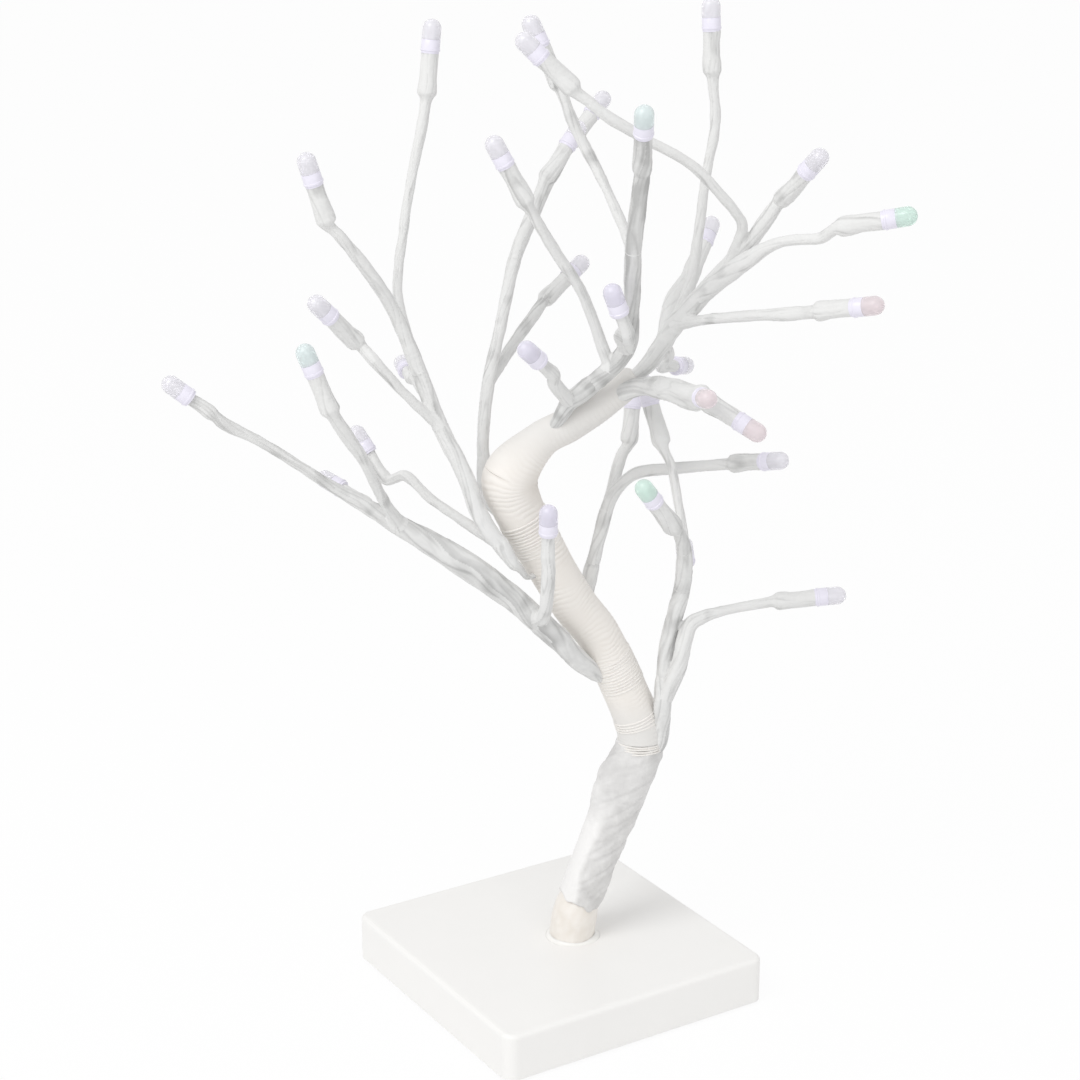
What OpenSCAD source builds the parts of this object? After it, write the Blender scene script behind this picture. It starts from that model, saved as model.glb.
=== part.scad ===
// Artificial bonsai tree: paper-taped wire branches with bullet lamps on a square battery base.
// Millimetres, Z up. The origin is the middle of the face that the base stands on.

/* [Base] */
// Side of the square base
base_w = 120; // [108:1:150]
// Height of the base, from the table to its top face
base_h = 20; // [18:0.5:26]
// Radius of the upright corners
corner_r = 5; // [3:0.5:8]
// Radius of the softened top edge
edge_r = 2; // [1:0.25:2.5]
// Wall of the housing
wall = 2.5; // [2:0.1:2.6]
// Thickness of the housing's top
top_t = 2; // [1.5:0.1:2]
// Thickness of the bottom cover and of the battery door
cover_t = 2; // [1.6:0.1:2]
// Thickness of the anti-slip pad
pad_t = 1; // [0.6:0.1:1]
// How far the pad stays inside the base's outline
pad_inset = 4; // [3:0.5:6]

/* [Fasteners] */
// Diameter of the self-tapping screws that hold the cover
screw_d = 3; // [2.5:0.1:3.2]
// Length of the cover screws
screw_l = 10; // [8:0.5:12]
// Distance of the cover screws from the outer faces
screw_inset = 8; // [7.5:0.5:9]
// Diameter of the screws that lock the trunk's foot
set_screw_d = 2.6; // [2:0.1:3]
// Diameter of the circuit board screws
board_screw_d = 2; // [1.8:0.1:2.4]

/* [Battery bay] */
// Diameter of one cell
cell_d = 14.5; // [13.5:0.1:14.5]
// Length of one cell without its button
cell_l = 49.2; // [44:0.2:56]
// Number of cells, side by side
cell_count = 3; // [2:1:3]
// Gap between the bay and the corner posts
bay_gap = 1.9; // [1:0.1:3]
// Room for the door's hinge between the bay and the rear wall
bay_rear = 2.9; // [2.8:0.1:3.2]
// Wire of the battery springs
spring_wire = 0.6; // [0.4:0.1:0.7]
// Turns of each battery spring
spring_turns = 2.5; // [2:0.5:4]
// Length of a fitted battery spring
spring_l = 4.2; // [4:0.2:5]
// Diameter of the door's hinge pins
hinge_pin_d = 1.8; // [1.4:0.1:2]

/* [Switch and board] */
// Middle of the switch along the rear wall
switch_x = 35; // [30:1:38]
// Travel of the switch slider, end to end
switch_travel = 4; // [3:0.5:4]
// Width of the slider's grip
grip_w = 4; // [3:0.5:4.5]
// How far the grip stands proud of the rear wall
grip_proud = 1.6; // [1:0.2:2.4]
// Length of the circuit board
board_l = 34; // [30:1:35]
// Width of the circuit board
board_w = 24; // [20:1:26]
// Thickness of the circuit board
board_t = 1.6; // [1:0.2:2]

/* [Trunk] */
// Turn of the tree on its base
tree_turn = -32; // [-50:1:-30]
// Distance of the trunk's foot from the middle of the base
foot_u = 6; // [6:0.5:8]
// Diameter of the trunk's bare core at the foot
foot_d = 18.4; // [16:0.2:18.4]
// Wire passage through the core
core_bore_d = 6; // [5:0.2:7]
// Thickness of the tape round the trunk
trunk_tape = 0.8; // [0.5:0.1:1.2]
// Thread of the bindings round the trunk
thread_d = 0.9; // [0.6:0.1:1]
// Reach of the glue fillet round the foot
glue_reach = 4; // [2:0.5:5]

/* [Branches and lamps] */
// Diameter of the wire pair inside a stem
wire_d = 1.4; // [1:0.1:1.6]
// Diameter of the paper sleeve under a lamp
sleeve_d = 5.8; // [5:0.1:6.2]
// Length of the paper sleeve under a lamp
sleeve_l = 16; // [10:1:20]
// Diameter of a lamp's translucent cap
lamp_d = 7; // [6:0.1:7.4]
// Length of a lamp from its collar's foot to its tip
lamp_l = 12.5; // [10:0.5:14]
// Height of a lamp's collar
collar_l = 5; // [3.5:0.1:5.5]
// Wall of the translucent cap
cap_wall = 0.6; // [0.4:0.1:0.8]

/* [Hidden] */

// Clearances
fit = 0.2;           // parts that are pressed or glued together
run_gap = 0.3;       // parts that move past each other
door_gap = 0.5;      // round the battery door
root_gap = 0.5;      // round a branch's root in its seat
skin = 0.1;          // between a layer and what it lies on
cut = 1;             // how far a cutter runs past a face
bond = 0.5;          // how far joined shapes run into each other

// Levels of the base, from the table up
cover_z = pad_t;
floor_z = pad_t + cover_t;
ceiling_z = base_h - top_t;
inner_w = base_w - 2 * wall;

// Trunk's foot and its socket
lead_room = 2;
foot_z = floor_z + lead_room;
socket_wall = 2.4;
socket_r = foot_d / 2 + fit + socket_wall;
set_screw_z = foot_z + 4;
set_screw_bite = 3.6;
set_screw_head_d = 4.6;
set_screw_head_t = 1.4;

// Cover screws
screw_at = base_w / 2 - screw_inset;
screw_head_d = 5.6;
screw_head_t = 1.4;
boss_d = screw_d + 4;

// Battery bay
cell_pitch = cell_d + 0.5;
cell_room = 0.3;     // between a cell and the hollow over it
trough_t = 0.8;      // door left under the trough that a cell rests in
cell_z = cover_z + trough_t + skin + cell_d / 2;
button_d = 5.5;
button_l = 1;
plate_t = 0.4;
plate_w = 11;
plate_h = 9;
rib_t = 2;
bay_l = plate_t * 2 + button_l + cell_l + spring_l + skin * 4;
bay_w = cell_count * cell_pitch;
bay_x0 = boss_d / 2 - screw_at + bay_gap + rib_t;
bay_x = bay_x0 + bay_l;
bay_y = inner_w / 2 - bay_rear - bay_w;
spring_r = 3.6;
spring_top_r = 3;

// Battery door and its hinge
barrel_r = cover_t / 2 + 0.6;
hinge_x = bay_x + rib_t + barrel_r;
hinge_z = cover_z + barrel_r;
pin_l = 1.6;
door_y0 = bay_y + 0.4;
door_w = bay_w - 0.8;
door_x0 = bay_x0 - 0.5;
lug_t = pin_l + 0.8;
latch_w = 10;
latch_t = 1.2;
latch_h = 0.8;
latch_y = door_y0 + (door_w - latch_w) / 2;

// Switch and board
switch_l = switch_travel + grip_w + 5;
switch_w = 6;
switch_h = 7;
switch_z = base_h / 2 + 0.5;
grip_h = 3;
foot_plate = 2;
slot_l = switch_travel + grip_w + 2 * run_gap;
switch_y = base_w / 2 - wall - skin - switch_w / 2;
board_gap = 1;       // to the side wall and to the corner post
board_x = inner_w / 2 - board_gap - board_l;
board_y = boss_d / 2 - screw_at + board_gap;
board_z = base_h - 8;
board_boss_d = board_screw_d + 2.6;
board_screw_l = 5;
lead_d = 1.2;
lead_z = floor_z + 2;
lead_ys = [bay_y + cell_pitch / 2, bay_y + bay_w - cell_pitch / 2];

// The trunk stands just in front of the bay
socket_gap = 1;
foot_x = foot_u * cos(tree_turn);
foot_y = bay_y - socket_gap - socket_r;
tree_y = foot_y - foot_u * sin(tree_turn);

// Trunk: points of the taped length from above the foot to the crown, each with its radius,
// seen from the front: right, away, up from the base's top
trunk_points = [
  [9.5, 0, 18, 8.9], [13.5, 0, 30, 8.8], [19.5, 2, 46, 9.2], [23.5, 3, 57, 10], [27, 4, 68, 10.4],
  [33, 6, 84, 9.4], [26, 5, 106, 8.8], [16, 3, 128, 8.6], [5, 1, 144, 8.8], [-5, 0, 162, 9.2],
  [-16, -3, 184, 9.8], [-18, -4, 196.5, 10.4], [-7, -3, 209.5, 7], [4.5, -1, 215.5, 6.6],
  [15.5, 1, 222.5, 6.3], [27, 3, 231, 5.6],
];
waist = 5;           // point where the lower wrap meets the middle one
crook = 11;          // point where the middle wrap meets the upper one
trunk_steps = 2;
bundle_gap = 0.6;    // round the wires in the core
trunk_sides = 12;
bore_sides = 6;

// Branches: the first list is the main stem from its root, then each twig with the number of the
// main stem's point that it leaves. A stem's last two points are its lamp's foot and aim.
low_left = [
  [[0, -10, 132, 4.4], [-7, -11, 139, 4.6], [-16, -12, 148, 4.8], [-34, -12, 162, 5.4], [-60, -10, 178, 4],
    [-86, -10, 194, 2.3], [-110, -14, 211.5, 2], [-125, -18, 221, 2.4], [-135.5, -20.5, 230.5, 2.6],
    [-145, -22.5, 238.5, 0]],
  [4, [[-66, -22, 193, 2.2], [-71, -34, 210, 2.2], [-77, -40, 222, 2.6], [-87, -46, 246, 2.6],
    [-91.5, -47.5, 258, 0]]],
  [4, [[-72, 8, 179, 2.2], [-84, 20, 183, 2.4], [-94, 26, 187, 0]]],
  [1, [[-5, -20, 148, 2.6], [-4, -24, 164, 2.8], [-4, -27, 180, 2.6], [-4, -29, 190, 0]]],
];
mid_left = [
  [[-17, -14, 164, 3.4], [-21.5, -14, 171, 3.4], [-29, -14, 182, 3.4], [-36, -12, 200, 3.2],
    [-44.5, -10, 217, 3.2], [-52, -10, 238, 3], [-60, -12, 260, 2.6], [-67.5, -18, 275, 2.6],
    [-79, -24, 292, 2.2], [-87, -27, 310.5, 2.4], [-90.5, -29, 323, 0]],
  [5, [[-60, 2, 263, 2], [-58, 10, 287, 1.9], [-54, 14, 310, 1.9], [-50.5, 16, 326, 2.2],
    [-47.5, 19, 351, 2.4], [-46.5, 20, 362, 0]]],
  [4, [[-56.5, -16, 230.5, 1.9], [-68, -20, 245, 2.4], [-82.5, -22, 261, 2.6], [-89, -27, 269, 0]]],
  [4, [[-52, 20, 222, 1.9], [-57, 45, 221, 2.2], [-60, 56, 221, 2.4], [-64, 70, 223, 0]]],
  [1, [[-33, -4, 175.5, 2], [-49, 12, 181.5, 1.9], [-60, 22, 188, 2.2], [-74, 29, 195, 2.6],
    [-80, 32, 204, 0]]],
];
upper_left = [
  [[-28, 9, 188, 3], [-29, 12, 205, 2.4], [-27, 18, 226, 2.6], [-22, 28, 248, 2.4], [-17, 38, 270, 2.6],
    [-10.5, 48, 286, 2.4], [3, 64, 309, 2.6], [10, 70, 319, 0]],
  [2, [[-19, 36, 235, 2.4], [-7, 56, 248, 2.4], [3.5, 70, 256, 2.6], [12, 77, 263, 0]]],
  [4, [[-3.5, 62, 296, 2.2], [13, 88, 318, 2.6], [20, 95, 326, 0]]],
];
crown_top = [
  [[4, -8, 226, 3.2], [14, -8, 234, 3.6], [19, -9, 239, 3.6], [25, -13, 248, 3.4], [26, -22, 264, 3.2],
    [26, -32, 288, 3.2], [27, -38, 302, 3.2], [28.5, -46.5, 331, 2.8], [28.5, -52, 341.5, 0]],
  [5, [[21, -24, 299, 1.9], [14, -16, 313, 1.9], [5.5, -8, 328, 2.2], [-6.5, -1, 355.5, 2.4],
    [-11.5, -1, 366.5, 0]]],
  [3, [[22.5, -26, 256, 3], [21.5, -36, 266, 2.8], [17.5, -39.5, 277.5, 0]]],
  [2, [[8, -12, 269, 2], [-2, -16, 285, 2.2], [-19, -23.5, 316.5, 2.4], [-25, -25, 328, 0]]],
  [0, [[-2, -20, 237, 2.6], [-7, -27, 246, 2.6], [-13, -33, 253, 0]]],
];
crown_right = [
  [[35, 1, 240, 4], [39, -1, 247, 4.4], [43, -3, 254, 4.2], [52, -8, 266, 3.6], [62, -12, 279, 3.2],
    [68, -14, 286, 3], [87.5, -18, 313, 2.8], [93.5, -23.5, 321.5, 0]],
  [4, [[66, -16, 294, 2], [57.5, -20, 306, 1.9], [46, -22, 317.5, 1.9], [32, -24, 325.5, 1.9],
    [16, -25, 335, 2.2], [-6, -27, 354.5, 2.4], [-15.5, -28.5, 364, 0]]],
  [3, [[65.5, -22, 281, 3.4], [78, -32, 291, 2], [92, -38, 294, 2.2], [112, -45.5, 301.5, 2.4],
    [123.5, -48, 304, 0]]],
  [2, [[52, -12, 258, 2.1], [69, -20, 261.5, 2.1], [86, -27, 264, 2.6], [104.5, -33, 267.5, 2.6],
    [114.5, -39, 270, 0]]],
  [2, [[49, 8, 267, 2.4], [52, 14, 283, 2], [54.5, 18, 304, 1.9], [58, 21, 326, 2.1], [56, 23, 358.5, 2.6],
    [55.5, 23.5, 371, 0]]],
  [1, [[44, 20, 258, 3], [56, 42, 275.5, 2.6], [60.5, 50, 284.5, 0]]],
  [1, [[42, 16, 237, 2.1], [45, 30, 230, 2.4], [51.5, 40.5, 227.5, 0]]],
];
crown_front = [
  [[33, -8, 232, 3.4], [40, -20, 234, 4], [49, -33, 234, 4.4], [63, -47, 230, 2.8], [72.5, -52, 225, 0]],
  [1, [[47, -38, 237, 3], [50, -50, 239, 2.8], [52, -60, 241, 0]]],
];
rear = [
  [[11, 14, 143, 2.8], [16, 19, 163, 2.8], [19, 21, 174, 2.8], [22, 22, 181, 2.6], [30, 24, 188, 2.4],
    [47, 22, 191, 2.4], [78.5, 14, 196, 2.6], [87, 6, 199, 0]],
  [2, [[25, 30, 194, 2.4], [29, 34, 212, 2.4], [30, 36, 222, 0]]],
];
low_right = [
  [[41, 0, 101, 3.2], [43, 4, 126, 2.6], [48, 3, 148, 3], [48, -6, 167, 3], [44, -18, 180, 2.2],
    [35.5, -31.5, 193.5, 2.4], [29, -36.5, 203.5, 0]],
  [0, [[47, -2, 118, 2.4], [51.5, 1, 134, 2.4], [63, 4, 138, 2], [100, 8, 142.5, 2.4],
    [112, 8.5, 143.5, 0]]],
  [2, [[50.5, 14, 150, 2.2], [50.5, 20, 152.5, 2.4], [50, 29, 158, 0]]],
  [3, [[47, 3, 176, 1.9], [43, 9, 197, 1.9], [35.5, 15, 218, 2.2], [32.5, 19, 228, 0]]],
];

// Root ridges on the trunk: from each branch's root to where its wires go under the tape
root_paths = [
  [[0, -10, 132, 3.6], [8, -6, 127, 3.6], [15, 1, 126, 2.4]],
  [[-17, -14, 164, 2.8], [-11, -9, 158, 3], [-4, -3, 155, 2.4]],
  [[-28, 9, 188, 2.4], [-21, 3, 187, 3], [-15, -2, 187, 2.4]],
  [[4, -8, 226, 2.2], [3, -3, 217, 2.6], [3, -1, 214, 2.6]],
  [[35, 1, 240, 3.2], [30, 3, 234, 3.6], [26, 3, 230, 3.4]],
  [[33, -8, 232, 2.8], [29, -1, 231, 3.4], [26, 3, 230, 3.2]],
  [[11, 14, 143, 2.2], [9, 8, 139, 2.6], [8, 3, 136, 2.4]],
  [[41, 0, 101, 2.6], [36, 2, 98, 3], [30, 5, 96, 2.6]],
];
branches = [low_left, mid_left, upper_left, crown_top, crown_right, crown_front, rear, low_right];

stem_sides = 6;
wire_sides = 4;
wire_r = wire_d / 2;
bore_r = wire_r + 0.2;
wire_rest = 4;       // how far up a twig its wire pair starts, beside the main pair
knuckle_extra = 0.8; // how much a branch's rounded root exceeds its stem
sleeve_disc = 0.2;
sleeve_shape = [0.94, 0.86, 1, 0.9, 0.6]; // lumps of the sleeve from the lamp down
lamp_r = lamp_d / 2;
lip_r = lamp_r + 0.2;
spigot_r = lamp_r - cap_wall - skin;
diode_r = spigot_r - 0.3;

// Vectors and paths
function unit(v) = v / norm(v);
function place(p) = [p[0], p[1], p[2]];
function carry(n, t) = unit(n - (n * t) * t);
function last(list) = list[len(list) - 1];
function slice(list, a, b) = [for (i = [a:b]) list[i]];
function grown(path, by) = [for (p = path) [p[0], p[1], p[2], p[3] + by]];
function with_radius(path, r) = [for (p = path) [p[0], p[1], p[2], r]];
function heading(path, i) =
  unit(place(path[min(i + 1, len(path) - 1)]) - place(path[max(i - 1, 0)]));
function frames(path, n, i = 0) =
  i == len(path) ? [] :
  let (t = heading(path, i), m = carry(n, t))
  concat([[t, m]], frames(path, m, i + 1));
function between(a, b, c, d, t) =
  0.5 * (2 * b + (c - a) * t + (2 * a - 5 * b + 4 * c - d) * t * t + (3 * b - a - 3 * c + d) * t * t * t);
function smooth(points, steps) =
  let (n = len(points))
  concat(
    [for (i = [0:n - 2], k = [0:steps - 1])
      between(points[max(i - 1, 0)], points[i], points[i + 1], points[min(i + 2, n - 1)], k / steps)],
    [points[n - 1]]);
function at(path, s) =
  let (i = min(floor(s), len(path) - 2), f = s - i)
  path[i] * (1 - f) + path[i + 1] * f;

// Rings and skins of swept tubes; a point's fourth number is its radius
function start_normal(path) =
  let (t = heading(path, 0))
  carry(abs(t[1]) < 0.8 ? [0, 1, 0] : [1, 0, 0], t);
function rings(path, sides) =
  let (f = frames(path, start_normal(path)))
  [for (i = [0:len(path) - 1], k = [0:sides - 1])
    let (a = 360 * k / sides, side = cross(f[i][0], f[i][1]))
    place(path[i]) + path[i][3] * (cos(a) * f[i][1] + sin(a) * side)];
function skin_faces(count, sides, first = 0, inward = false) =
  [for (i = [0:count - 2], k = [0:sides - 1], half = [0, 1])
    let (a = first + i * sides + k, b = first + i * sides + (k + 1) % sides, up = sides)
    let (face = half == 0 ? [a, a + up, b + up] : [a, b + up, b])
    inward ? [face[0], face[2], face[1]] : face];

module sweep(path, sides) {
  n = len(path);
  polyhedron(
    rings(path, sides),
    concat(
      skin_faces(n, sides),
      [[for (k = [0:sides - 1]) k]],
      [[for (k = [0:sides - 1]) n * sides - 1 - k]]),
    convexity = 6);
}

// A tube between two sets of rings, one inside the other
module tube(outer, inner, sides) {
  first = len(outer);
  n = first / sides;
  end = first - sides;
  polyhedron(
    concat(outer, inner),
    concat(
      skin_faces(n, sides),
      skin_faces(n, sides, first, true),
      [for (k = [0:sides - 1], half = [0, 1])
        let (j = (k + 1) % sides)
        half == 0 ? [k, j, first + j] : [k, first + j, first + k]],
      [for (k = [0:sides - 1], half = [0, 1])
        let (j = (k + 1) % sides, a = first + end + k, b = first + end + j)
        half == 0 ? [end + k, b, end + j] : [end + k, a, b]]),
    convexity = 6);
}

module tree() {
  translate([0, tree_y, base_h]) rotate([0, 0, tree_turn]) children();
}

module aim(foot, target) {
  d = unit(place(target) - place(foot));
  translate(place(foot)) rotate([0, acos(d[2]), atan2(d[1], d[0])]) children();
}

// Base
module rounded_square(w, r) {
  square([w - 2 * r, w], center = true);
  square([w, w - 2 * r], center = true);
  for (x = [-1, 1], y = [-1, 1])
    translate([x, y] * (w / 2 - r)) circle(r, $fn = 32);
}

module corners() {
  for (x = [-1, 1], y = [-1, 1]) translate([x * screw_at, y * screw_at, 0]) children();
}

// The base's outside as rings of points: one at the bottom, the rest round the softened top edge
corner_steps = 8;
function rounded_ring(w, r, z) =
  [for (c = [0:3], k = [0:corner_steps])
    let (a = 90 * (c + k / corner_steps), d = 45 + 90 * c)
    [(w / 2 - r) * sign(cos(d)) + r * cos(a), (w / 2 - r) * sign(sin(d)) + r * sin(a), z]];

module base_block() {
  turns = [0:22.5:90];
  levels = concat(
    [[0, cover_z]],
    [for (a = turns) [edge_r * (1 - cos(a)), base_h - edge_r * (1 - sin(a))]]);
  sides = 4 * (corner_steps + 1);
  n = len(levels);
  polyhedron(
    [for (l = levels) each rounded_ring(base_w - 2 * l[0], corner_r - l[0], l[1])],
    concat(
      skin_faces(n, sides),
      [[for (k = [0:sides - 1]) k]],
      [[for (k = [0:sides - 1]) n * sides - 1 - k]]));
}

module bay_rib(x) {
  rib_z = floor_z + fit;
  translate([x, bay_y - bond, rib_z]) cube([rib_t, bay_w + 2 * bond, ceiling_z - rib_z + bond]);
}

module board_bosses() {
  for (x = [0, 1])
    translate([board_x + 4 + x * (board_l - 8), board_y + board_w / 2, 0]) children();
}

module set_screw_places() {
  for (side = [0, 180])
    translate([foot_x, foot_y, set_screw_z]) rotate([0, 0, side]) rotate([0, 90, 0]) children();
}

module base_housing() {
  color("whitesmoke") difference() {
    union() {
      difference() {
        base_block();
        translate([0, 0, -cut]) linear_extrude(ceiling_z + cut)
          rounded_square(inner_w, max(corner_r - wall, 1));
      }
      corners() translate([0, 0, floor_z])
        cylinder(d = boss_d, h = ceiling_z - floor_z + bond, $fn = 32);
      translate([foot_x, foot_y, foot_z])
        cylinder(r = socket_r, h = ceiling_z - foot_z + bond, $fn = 48);
      bay_rib(bay_x0 - rib_t);
      bay_rib(bay_x);
      board_bosses() translate([0, 0, board_z])
        cylinder(d = board_boss_d, h = ceiling_z - board_z + bond, $fn = 32);
    }
    corners() translate([0, 0, floor_z - cut])
      cylinder(d = screw_d + skin, h = screw_l + cut, $fn = 32);
    translate([foot_x, foot_y, foot_z - cut]) cylinder(d = foot_d + 2 * fit, h = base_h, $fn = 48);
    set_screw_places() cylinder(d = set_screw_d + skin, h = socket_r + cut, $fn = 24);
    board_bosses() translate([0, 0, board_z - cut])
      cylinder(d = board_screw_d + skin, h = board_screw_l + cut, $fn = 24);
    each_cell() cell_room_cut(cell_room);
    translate([switch_x, base_w / 2 - wall / 2, switch_z])
      cube([slot_l, wall + 2 * cut, grip_h + 2 * run_gap], center = true);
    for (y = lead_ys)
      translate([bay_x - cut, y - lead_d, floor_z - cut])
        cube([rib_t + 2 * cut, 2 * lead_d, lead_z - floor_z + lead_d + cut]);
  }
}

module door_opening(grow, h) {
  translate([door_x0 - grow, door_y0 - grow, 0])
    cube([hinge_x + barrel_r - door_x0 + 2 * grow, door_w + 2 * grow, h]);
}

module base_cover() {
  color("gainsboro") difference() {
    union() {
      difference() {
        translate([0, 0, cover_z]) linear_extrude(cover_t)
          rounded_square(inner_w - 2 * fit, max(corner_r - wall - fit, 0.8));
        translate([0, 0, cover_z - cut]) door_opening(door_gap, cover_t + 2 * cut);
      }
      for (y = [door_y0 - door_gap - lug_t, door_y0 + door_w + door_gap])
        translate([hinge_x - barrel_r, y, cover_z]) cube([2 * barrel_r, lug_t, 2 * barrel_r]);
    }
    translate([hinge_x, door_y0 - door_gap - pin_l - skin, hinge_z]) rotate([-90, 0, 0])
      cylinder(d = hinge_pin_d + 2 * skin, h = door_w + 2 * (door_gap + pin_l + skin), $fn = 24);
    corners() {
      translate([0, 0, cover_z - cut]) cylinder(d = screw_d + 2 * fit, h = cover_t + 2 * cut, $fn = 32);
      translate([0, 0, cover_z - cut])
        cylinder(d = screw_head_d + 2 * fit, h = screw_head_t + cut, $fn = 32);
    }
    translate([door_x0 - door_gap - latch_t - cut, latch_y - run_gap, floor_z - latch_h])
      cube([latch_t + cut + run_gap, latch_w + 2 * run_gap, cut]);
  }
}

module anti_slip_pad() {
  color("dimgray") difference() {
    linear_extrude(pad_t - skin) rounded_square(base_w - 2 * pad_inset, max(corner_r - pad_inset, 1));
    translate([0, 0, -cut]) door_opening(door_gap + 2.5, pad_t + 2 * cut);
  }
}

module cover_screws() {
  color("silver") corners() {
    translate([0, 0, cover_z]) cylinder(d = screw_head_d, h = screw_head_t - skin, $fn = 32);
    translate([0, 0, cover_z]) cylinder(d = screw_d, h = screw_l, $fn = 32);
  }
}

module battery_door() {
  color("gainsboro") {
    difference() {
      translate([door_x0, door_y0, cover_z]) cube([hinge_x - door_x0, door_w, cover_t]);
      each_cell() cell_room_cut(skin);
    }
    translate([hinge_x, door_y0, hinge_z]) rotate([-90, 0, 0])
      cylinder(r = barrel_r, h = door_w, $fn = 32);
    translate([hinge_x, door_y0 - door_gap - pin_l, hinge_z]) rotate([-90, 0, 0])
      cylinder(d = hinge_pin_d, h = door_w + 2 * (door_gap + pin_l), $fn = 24);
    translate([door_x0 - latch_t, latch_y, floor_z - latch_h + run_gap])
      cube([latch_t + cut, latch_w, latch_h - run_gap]);
  }
}

// One cell lies along the bay; every second one is turned end for end
module each_cell() {
  for (i = [0:cell_count - 1])
    translate([bay_x0 + bay_l / 2, bay_y + (i + 0.5) * cell_pitch, cell_z])
      rotate([0, 0, 180 * (i % 2)]) children();
}

// Room for a cell: a trough in the door, and a hollow in the top where the base is low
module cell_room_cut(gap) {
  rotate([0, 90, 0]) cylinder(r = cell_d / 2 + gap, h = bay_l - 2 * skin, center = true, $fn = 48);
}

module battery_cells() {
  color("darkseagreen") each_cell() rotate([0, 90, 0])
    translate([0, 0, spring_l + plate_t + 2 * skin - bay_l / 2]) {
      cylinder(d = cell_d, h = cell_l, $fn = 48);
      cylinder(d = button_d, h = cell_l + button_l, $fn = 32);
    }
}

// Each spring is one wire that narrows towards its cell
function spring_path() =
  [for (i = [0:8 * spring_turns])
    let (a = 45 * i, s = i / (8 * spring_turns), r = spring_r + (spring_top_r - spring_r) * s)
    let (x = plate_t + skin + spring_wire / 2 + s * (spring_l - spring_wire))
    [x, r * cos(a), r * sin(a), spring_wire / 2]];

module battery_springs() {
  color("silver") each_cell() translate([-bay_l / 2, 0, 0]) sweep(spring_path(), wire_sides);
}

module contact_plates() {
  color("silver") each_cell() for (x = [-bay_l / 2, bay_l / 2 - plate_t])
    translate([x, -plate_w / 2, -plate_h / 2]) cube([plate_t, plate_w, plate_h]);
}

module circuit_board() {
  color("seagreen") difference() {
    translate([board_x, board_y, board_z - board_t - skin]) cube([board_l, board_w, board_t]);
    board_bosses() translate([0, 0, board_z - board_t - cut])
      cylinder(d = board_screw_d + 2 * fit, h = board_t + 2 * cut, $fn = 24);
  }
}

module board_components() {
  chip = [5, 4, 1.5];
  resistor = [3.2, 1.6, 0.6];
  capacitor_d = 4;
  under = board_z - board_t - 2 * skin;
  color("darkslategray") {
    translate([board_x + board_l / 2, board_y + board_w * 0.6, under - chip[2] / 2])
      cube(chip, center = true);
    for (i = [0:3])
      translate([board_x + board_l / 2 - 6 + 4 * i, board_y + board_w * 0.3, under - resistor[2] / 2])
        cube(resistor, center = true);
    translate([board_x + board_l * 0.7, board_y + board_w * 0.7, under - capacitor_d])
      cylinder(d = capacitor_d, h = capacitor_d, $fn = 24);
  }
}

module board_screws() {
  head_t = 1.2;
  head_d = board_screw_d * 1.9;
  shank_l = head_t + board_t + board_screw_l - bond;
  color("silver") board_bosses() translate([0, 0, board_z - board_t - 2 * skin - head_t]) {
    cylinder(d = head_d, h = head_t, $fn = 24);
    cylinder(d = board_screw_d, h = shank_l, $fn = 24);
  }
}

module switch_body() {
  color("darkslategray") translate([switch_x, switch_y, switch_z]) difference() {
    cube([switch_l, switch_w, switch_h], center = true);
    translate([0, switch_w / 2 - foot_plate / 2, 0])
      cube([slot_l, foot_plate + 2 * run_gap, grip_h + 2 * run_gap], center = true);
  }
}

module switch_knob() {
  reach = wall + skin + foot_plate - run_gap;
  color("dimgray") translate([switch_x - grip_w / 2, base_w / 2 - reach, switch_z - grip_h / 2]) {
    cube([grip_w, reach + grip_proud, grip_h]);
    for (i = [0:2])
      translate([grip_w * (0.2 + 0.3 * i) - 0.25, reach + grip_proud - 0.2, 0]) cube([0.5, 0.5, grip_h]);
  }
}

// Leads run from the contact plates through the bay's rib to the board, and from there under the socket
lead_top = board_z - board_t - lead_d / 2 - 2 * skin;
function supply_route(y, k) = [
  [bay_x + skin, y, lead_z, lead_d / 2],
  [bay_x + rib_t + 1, y, lead_z, lead_d / 2],
  [hinge_x + barrel_r + 4 + k, y, lead_z + 1, lead_d / 2],
  [board_x + 9 + k, board_y + board_w - 2, lead_z + 1, lead_d / 2],
  [board_x + 9 + k, board_y + board_w - 4, lead_top, lead_d / 2],
];

module supply_leads() {
  color("firebrick") {
    sweep(supply_route(lead_ys[0], 0), 6);
    sweep(supply_route(lead_ys[1], 5), 6);
  }
}

function trunk_route(side) = [
  [board_x + 3 + side, board_y + board_w - 4, lead_top, lead_d / 2],
  [board_x + 2 + side, board_y + board_w - 2, floor_z + 3, lead_d / 2],
  [foot_x + 9 + side, foot_y - socket_r, floor_z + lead_d, lead_d / 2],
  [foot_x + side, foot_y - 2, floor_z + lead_d - 0.4, lead_d / 2],
  [foot_x + side / 2, foot_y, foot_z + 1, lead_d / 2],
];

module trunk_leads() {
  color("goldenrod") for (side = [-1.6, 1.6]) sweep(trunk_route(side), 6);
}

// Trunk
trunk_path = smooth(trunk_points, trunk_steps);
foot_path = [
  [foot_u, 0, foot_z - base_h, foot_d / 2],
  [foot_u, 0, 2, foot_d / 2],
  [(foot_u + trunk_points[0][0]) / 2, 0, 12, foot_d / 2 - fit],
];
core_path = concat(foot_path, grown(trunk_path, -trunk_tape - skin));
bore_path = concat(foot_path, trunk_points);
bore_start = foot_path[0] - [0, 0, cut, 0];
bore_end = last(bore_path) + cut * concat(heading(bore_path, len(bore_path) - 1), [0]);
wires_path = concat(slice(bore_path, 1, len(bore_path) - 2), [2 * last(bore_path) - bore_end]);

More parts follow.
